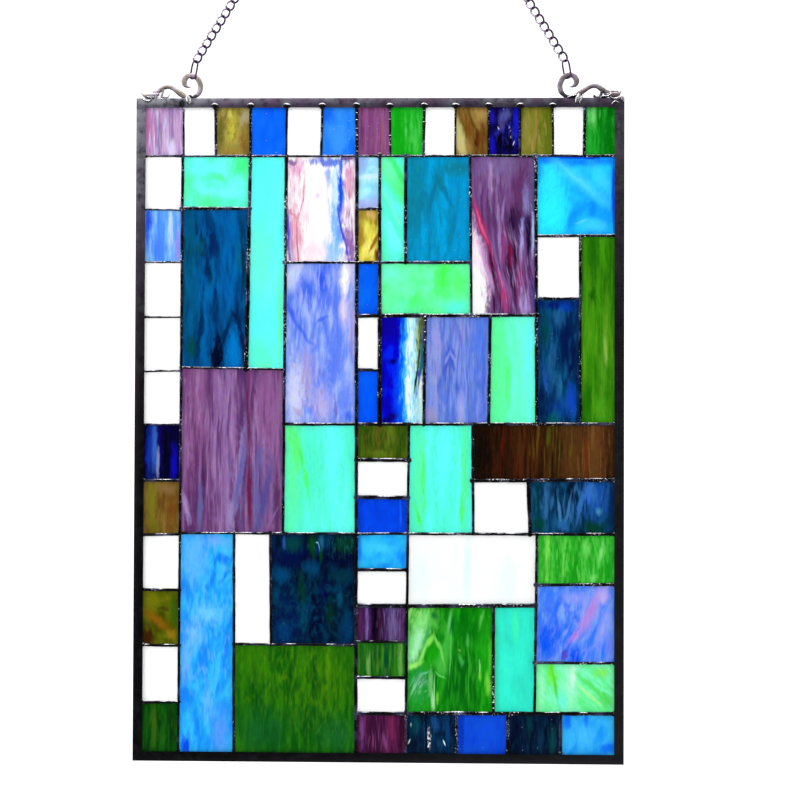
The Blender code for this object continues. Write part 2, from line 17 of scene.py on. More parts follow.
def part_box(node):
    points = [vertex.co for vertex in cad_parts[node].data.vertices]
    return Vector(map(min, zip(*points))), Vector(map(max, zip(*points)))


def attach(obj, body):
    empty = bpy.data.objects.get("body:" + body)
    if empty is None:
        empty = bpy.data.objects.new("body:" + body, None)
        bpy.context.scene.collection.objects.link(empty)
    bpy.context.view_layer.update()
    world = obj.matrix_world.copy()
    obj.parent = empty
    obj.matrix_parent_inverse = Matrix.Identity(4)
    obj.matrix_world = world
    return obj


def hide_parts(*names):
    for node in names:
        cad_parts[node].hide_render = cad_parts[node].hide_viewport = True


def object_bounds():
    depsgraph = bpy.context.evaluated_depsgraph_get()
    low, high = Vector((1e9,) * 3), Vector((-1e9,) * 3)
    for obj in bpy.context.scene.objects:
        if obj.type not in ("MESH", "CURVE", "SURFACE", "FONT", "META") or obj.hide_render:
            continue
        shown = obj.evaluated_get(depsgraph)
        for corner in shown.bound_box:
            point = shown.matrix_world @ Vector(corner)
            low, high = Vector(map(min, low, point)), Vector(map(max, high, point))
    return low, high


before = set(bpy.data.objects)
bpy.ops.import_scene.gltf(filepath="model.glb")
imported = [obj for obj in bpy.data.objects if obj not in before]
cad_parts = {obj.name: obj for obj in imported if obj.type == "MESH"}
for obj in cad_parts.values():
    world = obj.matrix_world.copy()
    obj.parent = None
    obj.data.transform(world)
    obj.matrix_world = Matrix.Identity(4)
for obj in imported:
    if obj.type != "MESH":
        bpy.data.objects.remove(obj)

CAD_LOW, CAD_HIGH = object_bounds()

# The CAD came says where the panel is, in metres. All that follows is in
# millimetres, except where a comment says otherwise.
MM = 0.001
CAME_LOW, CAME_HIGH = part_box("frame_came")
LEFT = CAME_LOW.x
TOP = CAME_HIGH.z
PANEL_W = (CAME_HIGH.x - CAME_LOW.x) / MM
PANEL_H = (CAME_HIGH.z - CAME_LOW.z) / MM
CAME_HALF = (CAME_HIGH.y - CAME_LOW.y) / 2.0 / MM
CAME_FACE = 9.0
CAME_FLOOR = 3.0
CAME_WALL = 1.0
CAME_EDGE = 0.6
CAME_DENT = 0.07
SHARP_CAME = math.radians(40.0)

GLASS_HALF = 1.5
GLASS_TINT = 0.9
JOINT_HALF = 0.75
COLUMN_RIGHT = 43.0
ROW_DOWN = 54.3
RIPPLE = 0.12
RIPPLE_STEP = 3.2
RIPPLE_FADE = 4.0
SHARP_GLASS = math.radians(50.0)

# Patterns run straight through the glass: their depths, far more than its own.
GRAIN_DEEP = 60.0
PATCH_DEEP = 1000.0
NOISE_MIDDLE = (0.5, 0.5, 0.5)
WHITE_LIGHT = (1.0, 1.0, 1.0, 1.0)

BEAD_WIDE = 2.9
BEAD_SHARE = 0.47
BEAD_HIGH = 1.25
BEAD_HIGH_BACK = 0.8
BEAD_STEP = 2.4
BEAD_ARC = 7
BEAD_CLEAR = 0.02
WEB_HALF = 0.6
DROP_BASE = GLASS_HALF + 0.6 * BEAD_HIGH
DROP_HIGH = 1.3
LUG_DOWN = 8.0
LUG_HIGH = 1.5

# Upright seams: across and down at the top, then at the bottom, and then how wide
# the bead looks at each end, where that is not BEAD_WIDE.
UPRIGHTS = {
    "t1": (44.4, 9, 44.6, 54, 2.2, 2.2), "t2": (74.2, 9, 75, 54), "t3": (107.5, 9, 107.5, 54, 2.8, 2.8),
    "t4": (141.5, 9, 141.1, 54, 2.4, 2.4), "t5": (174.8, 9, 173.8, 54, 2.6, 2.6),
    "t6": (207.1, 9, 207.4, 54, 3.8, 3.4), "t7": (238.1, 9, 238.7, 54, 2.2, 2.2),
    "t8": (270.5, 9, 269.6, 54, 3.2, 3), "t9": (299.6, 9, 299.3, 54, 2.2, 2.2),
    "t10": (330.5, 9, 330.2, 54, 2.2, 2.2), "t11": (359.8, 9, 359.6, 54, 2.8, 2.8),
    "t12": (390.2, 9, 390.6, 54, 2.4, 2.4), "t13": (420.2, 9, 419.8, 54, 3.2, 3.4),
    "col": (43.8, 54, 42.6, 610, 3, 2.6), "a": (107.4, 54, 104.4, 254, 3.2, 5),
    "b": (141.2, 54, 139.6, 407, 3.5, 2.8), "c": (207.4, 54, 208.4, 610, 3.8, 3.4),
    "d": (228.7, 54, 229.6, 305, 2.8, 5), "e": (253.2, 54, 253.2, 154, 3.6, 3.4),
    "f": (313.2, 54, 314.9, 204), "g": (374.5, 54, 376, 305, 3.6, 3.4), "h": (416.1, 129, 416.5, 305),
    "i": (271.9, 204, 270.8, 305, 3.8, 3.2), "j": (332.4, 204, 331.2, 304, 3.4, 3.2),
    "k": (256.9, 305, 254.9, 610), "m": (316.2, 305, 317.3, 407), "n": (368.2, 357, 370, 407, 4.4, 3.6),
    "o": (376.3, 407, 374.5, 573, 3, 2.8), "p": (336.2, 474, 336.2, 574, 3.4, 3),
    "q": (302, 574, 302, 610), "r": (349.6, 574, 349.6, 610, 3.6, 3.6),
    "s": (398.5, 574, 398.5, 610, 3.6, 3.6), "v": (93.8, 407, 94.5, 610), "w": (127.8, 407, 129, 511),
}

# Level seams: the same from the left end to the right end.
LEVELS = {
    "row": (9, 54.4, 448, 54.2, 2.4, 2.8), "l1": (9, 104.4, 43, 105.2, 1.9, 1.9),
    "l2": (9, 154, 43, 154, 2.1, 2.1), "l3": (9, 205.6, 43, 205.4, 2.2, 2.4),
    "l4": (9, 256.4, 43, 255.8, 2.5, 2.3), "l5": (9, 306.3, 43, 306.1, 2.2, 2.2),
    "l6": (9, 358.5, 43, 358.5), "l7": (9, 409.5, 43, 409), "l8": (9, 460.6, 43, 460.9),
    "l9": (9, 512.2, 43, 512.6), "l10": (9, 566, 43, 565), "a1": (43, 103.4, 107, 103.6, 3.8, 3.2),
    "a2": (43, 252.9, 140, 254.1, 2.2, 2.6), "m1": (140, 154.1, 313, 154.1, 2.8, 3.4),
    "m2": (229, 203.9, 376, 203.3, 4.2, 3.6), "m3": (140, 305.6, 448, 304.4, 3.2, 3.4),
    "m4": (43, 407.7, 448, 407, 2.4, 3.2), "m5": (255, 474.6, 375, 473.4, 4, 4.4),
    "m6": (255, 574, 448, 573.2, 4, 3.8), "c1": (208, 104, 229, 104, 3.4, 3.4),
    "c2": (208, 204.3, 229, 204.1, 4, 4), "c3": (208, 254.7, 229, 254.7, 3.8, 3.6),
    "c4": (208, 338.7, 257, 338.7, 4.2, 4.2), "c5": (208, 373.4, 256, 373.8, 3.8, 4.2),
    "c6": (208, 441, 255, 441, 3.6, 3.6), "c7": (208, 474.4, 255, 474.6, 4.4, 4.2),
    "c8": (208, 507.8, 255, 507.8), "c9": (208, 541.2, 255, 541.2, 3.2, 3.2),
    "c10": (208, 574.6, 255, 574.4, 3.8, 3.8), "r1": (375, 129.2, 448, 128.7, 3.2, 3),
    "r2": (375, 187.5, 416, 187.5, 3.1, 3.1), "r3": (316, 357.6, 448, 356.4, 3.6, 4),
    "r4": (375, 454.2, 448, 453.4, 3.3, 3.3), "r5": (374, 526.4, 448, 526.4),
    "v1": (94, 511, 208, 511, 2.7, 2.7),
}

# Cast straps of the hooks: (across from the nearer corner, up, width, depth).
SPIRAL = [
    (46.6, 1.9, 3.6, 3.6), (49.4, 1.2, 3.4, 3.6), (53, 1.4, 3.4, 3.6), (56.6, 3.3, 3.8, 3.4),
    (59.2, 7, 4.7, 3.2), (59.9, 12, 5, 2.9), (58.3, 17, 5, 2.7), (54.9, 20.7, 4.7, 2.4),
    (50.7, 22, 4.4, 2.3), (46.6, 20.3, 4.9, 2.6), (44.4, 16.4, 5.4, 2.9), (45.4, 12.9, 4.2, 2.7),
    (47.8, 11.2, 2.3, 2), (50.6, 10.6, 0.8, 1.1),
]
LEFT_STRAPS = {
    "arch": [
        (17, 4.6, 4.2, 3.4), (20.4, 7.3, 4.4, 3.6), (24.2, 9.9, 3.9, 3.5), (28.6, 11.1, 3.8, 3.4),
        (32.6, 10.4, 3.9, 3.4), (36.2, 8.2, 4.4, 3.5), (40.4, 5.1, 5.2, 3.6), (43.6, 2.9, 4.9, 3.6),
        (46.8, 1.7, 3.9, 3.6),
    ],
    "leaf": [
        (21, 4.6, 2.8, 3.2), (16.4, 3.6, 4.4, 4.2), (12.4, 2.9, 5.6, 4.6), (9.2, 2.6, 4.8, 4.2),
        (6.8, 3.3, 3, 3), (5.2, 4.6, 1.7, 2), (4, 6, 0.6, 0.9),
    ],
    "leaf_back": [(22.4, 7.6, 2.4, 3), (19, 6.9, 2.8, 3.4), (15.8, 6, 2.2, 2.6), (13.4, 4.6, 1, 1.4)],
    "stem": [(24.6, 8.4, 2.2, 2.6), (24, 5.2, 2, 2.4), (23, 1.8, 2.2, 2.4)],
    "tendril": [
        (22.4, 1.4, 2, 2.6), (25.6, 1.2, 1.8, 2.2), (28.2, 1.1, 1.5, 2), (29.8, 2.1, 1.1, 1.6),
        (30.6, 4.4, 0.6, 1),
    ],
}
RIGHT_STRAPS = {
    "arch": [
        (13.6, 4.4, 4.3, 3.4), (16.6, 5.6, 5.3, 3.6), (20.4, 8.1, 5.3, 3.6), (24.2, 10.6, 4.4, 3.5),
        (28, 11.4, 3.8, 3.4), (31.8, 10.5, 3.8, 3.4), (36.2, 7.9, 4.1, 3.5), (40.2, 5.2, 4.8, 3.6),
        (43.6, 3, 4.6, 3.6), (46.8, 1.8, 3.4, 3.6),
    ],
    "leaf": [
        (19, 3, 2.4, 3), (14.6, 3.2, 4.4, 4), (10.6, 3, 6.2, 4.6), (7.6, 3.2, 6.4, 4.2),
        (5.4, 4.3, 4.2, 3), (3.8, 5.8, 2, 1.8), (2.6, 7, 0.6, 0.8),
    ],
    "leaf_back": [(12.6, 6.6, 1.4, 2), (10, 6.2, 2.4, 2.8), (7.6, 6, 2, 2.4), (5.6, 7, 0.9, 1.2)],
    "stem": [(20.8, 6.2, 2.9, 2.6), (21.6, 3.8, 2.8, 2.4), (22.6, 1.2, 2.9, 2.4)],
    "tendril": [(22.6, 1.2, 2, 2.6), (25.4, 1, 1.7, 2.2), (27.4, 1.3, 1.9, 2), (28.3, 2.7, 2.9, 2.2)],
}

# Ridges and drops of solder and leaf on the came's front: the same columns,
# with how far they stand out instead of the depth.
LEFT_RIDGES = [
    [(5.6, 0.4, 0.8, 0.7), (7.6, -1.7, 1.5, 1.1), (10.4, -2.8, 1.9, 1.3), (13.2, -2, 1.5, 1.1),
     (15, 0.2, 0.9, 0.8)],
    [(9.6, 1.2, 1, 1.2), (13.2, 0.6, 1.8, 1.5), (17, 0.8, 1.4, 1.3)],
    [(17.6, 1, 1.4, 1.2), (18.6, -0.4, 1.2, 0.9), (18.4, -1.7, 0.7, 0.5)],
    [(48.8, 4.4, 2.2, 1.2), (48.6, 2.6, 4.6, 1.7), (48.6, 0.2, 5.6, 1.9), (49, -2.2, 5.4, 1.8),
     (49.6, -4.2, 4.4, 1.5), (50, -5.8, 1.8, 0.8)],
    [(50, 3.4, 3, 1.7), (51.6, 2.4, 3, 1.6), (53, 1.2, 2, 1.1)],
    [(17.6, 0.9, 1, 1), (19, 1.3, 1.2, 1.2), (20.8, 1.4, 1, 1)],
    [(23.2, 0.2, 0.8, 0.6), (24.2, -1.2, 1.2, 0.8), (25.6, -0.4, 0.8, 0.5)],
]
RIGHT_RIDGES = [
    [(22.2, 0.4, 1, 0.8), (20.2, 1.2, 2.4, 1.5), (16.8, 1.2, 1.9, 1.6), (14.4, 2.2, 1.8, 1.6),
     (11.8, 3.8, 1, 1.5)],
    [(12, -6.6, 0.8, 0.5), (10.8, -4.9, 1.6, 1.1), (8.8, -3.6, 2, 1.3), (7, -4.1, 1.6, 1.1),
     (5.2, -5, 0.9, 0.6)],
    [(13.2, 1.2, 1.4, 1.4), (11.6, -0.6, 1.6, 1.2), (8.4, -0.8, 1.6, 1.1), (5.4, 0.4, 1.2, 1)],
    [(3.2, 0, 1, 1.5), (2.8, -1.6, 1.5, 1.8), (2.4, -3.2, 1, 1)],
    [(1.4, -1, 0.9, 1.4), (0.9, -2.4, 1.1, 1.2), (1.1, -3.8, 0.7, 0.6)],
    [(38.6, 3, 1.6, 1.4), (39.6, 0.2, 2, 1.5), (40.8, -2.8, 2.2, 1.3), (42, -5.2, 1.2, 0.6)],
    [(42, 3, 3.6, 1.9), (43.6, 0, 4.4, 1.8), (44.4, -3, 3.8, 1.3), (44.8, -5.2, 2, 0.7)],
    [(45, 2.2, 2, 1.8), (48, 1.6, 2, 1.8), (51.2, 0.8, 1.4, 1.4), (53.4, 0.2, 0.8, 0.9)],
]

# A cast leaf that laps over the came's corner, written as the ridges are.
RIGHT_LEAF = [
    (9.2, -2.2, 1.2, 0.6), (7, -1.2, 3.2, 1.2), (4.4, -0.4, 4.2, 1.4), (2.2, -0.2, 3.6, 1.3),
    (0.9, -0.8, 1.4, 0.8),
]

# The chain, in millimetres: curb links twisted a quarter turn, and long end links.
CURB_PITCH = 8.3
CURB_LONG = 9.5
CURB_HALF = 3.6
CURB_COUNT = 37
CURB_WIRE = 0.92
LONG_LINK = 17.0
LONG_HALF = 3.6
LONG_WIRE = 0.85
LONG_LEAN = math.radians(80.0)
LINK_STEP = 1.2
TWIST = math.radians(45.0)
LONG_TWIST = math.radians(36.0)
SEAT_ACROSS = 52.3
SEAT_UP = 18.9
RING_MIDDLE = 8.6
RING_WIRE = 1.1

# The camera: millimetres right of the panel's middle, away and down, and its angles.
EYE_RIGHT = 55.9
EYE_AWAY = 1500.0
EYE_DOWN = 307.4
EYE_LENS = 72.28
EYE_TURN = math.radians(1.372)
EYE_RISE = math.radians(0.945)
EYE_ROLL = math.radians(0.2)

# The room, in metres, and the brightness of its wall.
FLOOR_HALF = 2.2
FLOOR_DROP = 0.6
WALL_LIGHT = 1.3


# --- places ---------------------------------------------------------------

def place(across, y, down):
    """Panel millimetres to metres in the shared frame."""
    return Vector((LEFT + across * MM, y * MM, TOP - down * MM))


def upright_at(key, down):
    """How far across an upright seam is at a height."""
    x0, z0, x1, z1 = UPRIGHTS[key][:4]
    return x0 + (x1 - x0) * (down - z0) / (z1 - z0)


def level_at(key, across):
    """How far down a level seam is at a place across."""
    x0, z0, x1, z1 = LEVELS[key][:4]
    return z0 + (z1 - z0) * (across - x0) / (x1 - x0)


def wave(*place_on_noise):
    """Smooth noise from -1 to 1, the same on every run."""
    return noise.noise(Vector(place_on_noise))


# --- making objects -------------------------------------------------------

def add_object(name, shape, material):
    """A smooth mesh object with its faces turned outwards."""
    verts, faces = shape
    mesh = bpy.data.meshes.new(name)
    mesh.from_pydata([tuple(v) for v in verts], [], faces)
    bm = bmesh.new()
    bm.from_mesh(mesh)
    bmesh.ops.recalc_face_normals(bm, faces=bm.faces)
    bm.to_mesh(mesh)
    bm.free()
    mesh.materials.append(material)
    mesh.shade_smooth()
    obj = bpy.data.objects.new(name, mesh)
    bpy.context.scene.collection.objects.link(obj)
    return obj


def loft(sections, closed=False):
    """Faces between successive sections of equal length, capped when not closed."""
    count = len(sections)
    sides = len(sections[0])
    verts = [v for section in sections for v in section]
    faces = []
    for i in range(count if closed else count - 1):
        j = (i + 1) % count
        for k in range(sides):
            n = (k + 1) % sides
            faces.append((i * sides + k, i * sides + n, j * sides + n, j * sides + k))
    if not closed:
        faces.append(tuple(range(sides)))
        faces.append(tuple((count - 1) * sides + k for k in range(sides)))
    return verts, faces


class Pile:
    """Vertices and faces of several closed shapes gathered for one mesh."""

    def __init__(self):
        self.verts = []
        self.faces = []

    def add(self, shape):
        """Puts another closed shape in."""
        start = len(self.verts)
        verts, faces = shape
        self.verts.extend(verts)
        self.faces.extend(tuple(i + start for i in face) for face in faces)

    def shape(self):
        """All that was gathered, as add_object takes it."""
        return self.verts, self.faces


def smoothed(points, per):
    """Points of any width, with a smooth curve's points added between them."""
    out = []
    last = len(points) - 1
    for i in range(last):
        p0, p1, p2, p3 = (points[max(0, min(last, i + k))] for k in (-1, 0, 1, 2))
        for step in range(per):
            t = step / per
            row = []
            for a, b, c, d in zip(p0, p1, p2, p3):
                bend = (2.0 * a - 5.0 * b + 4.0 * c - d) * t * t
                bend += (3.0 * b - a - 3.0 * c + d) * t * t * t
                row.append((2.0 * b + (c - a) * t + bend) / 2.0)
            out.append(tuple(row))
    out.append(tuple(points[last]))
    return out


def squared(value, power):
    """A sine or cosine bent towards a square outline."""
    return math.copysign(abs(value) ** power, value)


def wire_loop(path, radius, sides=10):
    """A round wire along a closed path of points, all in metres."""
    count = len(path)
    tangents = []
    for i in range(count):
        tangents.append((path[(i + 1) % count] - path[i - 1]).normalized())
    normal = tangents[0].orthogonal().normalized()
    normals = [normal]
    for i in range(1, count):
        turn = tangents[i - 1].rotation_difference(tangents[i])
        normals.append((turn @ normals[-1]).normalized())
    back = tangents[-1].rotation_difference(tangents[0]) @ normals[-1]
    slip = math.atan2(back.cross(normals[0]).dot(tangents[0]), back.dot(normals[0]))
    sections = []
    for i in range(count):
        spun = Matrix.Rotation(slip * i / count, 3, tangents[i]) @ normals[i]
        other = tangents[i].cross(spun)
        section = []
        for k in range(sides):
            turn = 2.0 * math.pi * k / sides
            section.append(path[i] + (spun * math.cos(turn) + other * math.sin(turn)) * radius)
        sections.append(section)
    return loft(sections, closed=True)


def add_piece(name, node, shape, material):
    """An object that rides on the panel and stands for a CAD node."""
    obj = add_object(name, shape, material)
    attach(obj, "root")
    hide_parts(node)
    return obj


# --- material graphs ------------------------------------------------------

def linear(rgb):
    """An 8-bit screen colour as the linear colour a shader takes."""
    parts = []
    for value in rgb:
        v = value / 255.0
        parts.append(v / 12.92 if v <= 0.04045 else ((v + 0.055) / 1.055) ** 2.4)
    return (parts[0], parts[1], parts[2], 1.0)


class Graph:
    """The nodes of a material or a world, with short ways to add and wire them."""

    def __init__(self, owner):
        owner.use_nodes = True
        self.owner = owner
        self.tree = owner.node_tree
        self.tree.nodes.clear()

    def feed(self, socket, value):
        """Wires a socket, or sets its value."""
        if isinstance(value, bpy.types.NodeSocket):
            self.tree.links.new(value, socket)
        else:
            socket.default_value = value

    def node(self, kind, **inputs):
        """A node with the named inputs wired or set."""
        made = self.tree.nodes.new(kind)
        for name, value in inputs.items():
            self.feed(made.inputs[name.replace("_", " ")], value)
        return made

    def math(self, operation, a, b=0.0, c=0.0):
        """Arithmetic on numbers."""
        made = self.tree.nodes.new("ShaderNodeMath")
        made.operation = operation
        for socket, value in zip(made.inputs, (a, b, c)):
            self.feed(socket, value)
        return made.outputs[0]

    def vector(self, operation, a, b=(0.0, 0.0, 0.0), c=(0.0, 0.0, 0.0)):
        """Arithmetic on vectors."""
        made = self.tree.nodes.new("ShaderNodeVectorMath")
        made.operation = operation
        for socket, value in zip(made.inputs, (a, b, c)):
            self.feed(socket, value)
        return made.outputs["Value" if operation == "LENGTH" else "Vector"]

    def mapping(self, point, kind, location=(0, 0, 0), lean=0.0, scale=(1, 1, 1)):
        """A point moved, leaned across the panel and scaled."""
        made = self.tree.nodes.new("ShaderNodeMapping")
        made.vector_type = kind
        self.feed(made.inputs["Vector"], point)
        made.inputs["Location"].default_value = location
        made.inputs["Rotation"].default_value = (0.0, math.radians(lean), 0.0)
        made.inputs["Scale"].default_value = scale
        return made.outputs["Vector"]

    def noise(self, point, detail=2.0, rough=0.5, bend=0.0, output="Fac"):
        """Noise with lumps one unit wide."""
        made = self.node(
            "ShaderNodeTexNoise", Vector=point, Scale=1.0, Detail=detail, Roughness=rough,
            Distortion=bend,
        )
        return made.outputs[output]

    def grain(self, point, size, detail, rough=0.5, shift=(0, 0, 0), bend=0.0):
        """Noise with lumps of one size, in millimetres."""
        field = self.mapping(point, "TEXTURE", shift, 0.0, (size, size, size))
        return self.noise(field, detail, rough, bend)

    def sway(self, point, shift, size, detail=1.0, rough=0.5, lean=0.0):
        """A random push to each side, for bending streaks or tinting threads."""
        field = self.mapping(point, "TEXTURE", shift, lean, size)
        return self.vector("SUBTRACT", self.noise(field, detail, rough, 0.0, "Color"), NOISE_MIDDLE)

    def reach(self, point, across, down, half_w, half_h, lean=0.0):
        """How far off a spot on the panel is: 1 at its half width or half height."""
        size = (half_w, PATCH_DEEP, half_h)
        return self.vector("LENGTH", self.mapping(point, "TEXTURE", (across, 0.0, down), lean, size))

    def spread(self, value, low, high, to_low=0.0, to_high=1.0, smooth=False):
        """A number taken from one range to another, and held at its ends."""
        made = self.node("ShaderNodeMapRange", Value=value)
        if smooth:
            made.interpolation_type = "SMOOTHSTEP"
        for name, number in zip(("From Min", "From Max", "To Min", "To Max"),
                                (low, high, to_low, to_high)):
            made.inputs[name].default_value = number
        return made.outputs["Result"]

    def mix(self, factor, a, b):
        """A colour between two."""
        made = self.tree.nodes.new("ShaderNodeMix")
        made.data_type = "RGBA"
        self.feed(made.inputs[0], factor)
        self.feed(made.inputs[6], a)
        self.feed(made.inputs[7], b)
        return made.outputs[2]

    def lay(self, cover, colour, rgb):
        """Covers a colour in part with an 8-bit screen colour."""
        return self.mix(cover, colour, linear(rgb))

    def ramp(self, value, stops):
        """A colour picked from stops by a number."""
        made = self.node("ShaderNodeValToRGB", Fac=value)
        points = made.color_ramp.elements
        while len(points) < len(stops):
            points.new(0.5)
        for point, (position, colour) in zip(points, stops):
            point.position = position
            point.color = colour
        return made.outputs["Color"]

    def tones(self, value, *stops):
        """A ramp through 8-bit screen colours."""
        return self.ramp(value, [(position, linear(rgb)) for position, rgb in stops])

    def bump(self, height, strength, distance):
        """Surface directions from a height."""
        made = self.node("ShaderNodeBump", Height=height)
        made.inputs["Strength"].default_value = strength
        made.inputs["Distance"].default_value = distance
        return made.outputs["Normal"]

    def panel_point(self):
        """Millimetres across, deep and down from the panel's top left corner."""
        point = self.node("ShaderNodeTexCoord").outputs["Object"]
        corner = (-LEFT / MM, 0.0, TOP / MM)
        return self.mapping(point, "POINT", corner, 0.0, (1 / MM, 1 / MM, -1 / MM))

    def parts(self, vector):
        """A vector's three parts."""
        return self.node("ShaderNodeSeparateXYZ", Vector=vector).outputs

    def facing(self):
        """Which way the surface faces, bumps left out."""
        return self.parts(self.node("ShaderNodeNewGeometry").outputs["Normal"])

    def blend(self, factor, first, second):
        """A mix of two shader nodes."""
        made = self.node("ShaderNodeMixShader", Fac=factor)
        self.feed(made.inputs[1], first.outputs[0])
        self.feed(made.inputs[2], second.outputs[0])
        return made

    def surface(self, shader, kind="ShaderNodeOutputMaterial"):
        """Wires the last shader to the output, and gives back what is finished."""
        self.node(kind, Surface=shader.outputs[0])
        return self.owner

    def metal(self, colour, grain, rough, metallic, strength, depth=0.3, **more):
        """Finishes a metal whose roughness and bumps follow its grain."""
        rough = self.spread(grain, 0.3, 0.7, *rough)
        normal = self.bump(grain, strength, depth * MM)
        return self.surface(self.node(
            "ShaderNodeBsdfPrincipled", Base_Color=colour, Roughness=rough, Normal=normal,
            Metallic=metallic, **more,
        ))


def start_material(name):
    """A new material's empty graph, and the place on the panel that it colours."""
    graph = Graph(bpy.data.materials.new(name))
    return graph, graph.panel_point()


# --- glass ----------------------------------------------------------------

def look(dark, middle, light, width=6.0, stretch=6.0, lean=0.0, wisps=(), seeds=0.0,
         sway=(4.0, 10.0), bend=0.0, thread=0.1):
    """How one sheet looks: three colours, its streaks and what lies over them."""
    return {
        "stops": (dark, middle, light),
        "width": width,
        "stretch": stretch,
        "lean": lean,
        "wisps": wisps,
        "seeds": seeds,
        "sway": sway,
        "bend": bend,
        "thread": thread,
    }


def strands(rgb, across, down, half_w, half_h, wide, tall, start=0.5, strength=0.8, lean=0.0):
    """A soft patch of thin streaks in one colour."""
    return {
        "rgb": rgb,
        "patch": (across, down, half_w, half_h),
        "scale": (wide * 1.35, GRAIN_DEEP, tall * 0.8),
        "start": start,
        "strength": strength,
        "lean": lean,
    }


def arches(rgb, across, tops, reach, lean, wide, strength):
    """Soft pointed arches one below another, two leaning streaks to each."""
    offset = reach * math.tan(math.radians(lean))
    legs = []
    for top in tops:
        for way in (1.0, -1.0):
            x = across - way * offset
            legs.append((rgb, x, top + reach, wide, reach, way * lean, 1.5, 1.2, strength))
    return legs


WHITE = look((252, 254, 254), (255, 255, 255), (255, 255, 255), 30.0, 2.0)

# A wisp: colour, across, down, half width, half height, and then if wanted its
# lean in degrees, softness, raggedness and strength. These are the usual four.
# A few wisps are painted glints and reflections on the glass; comments mark them.
WISP_USUAL = (0.0, 1.6, 2.0, 1.0)

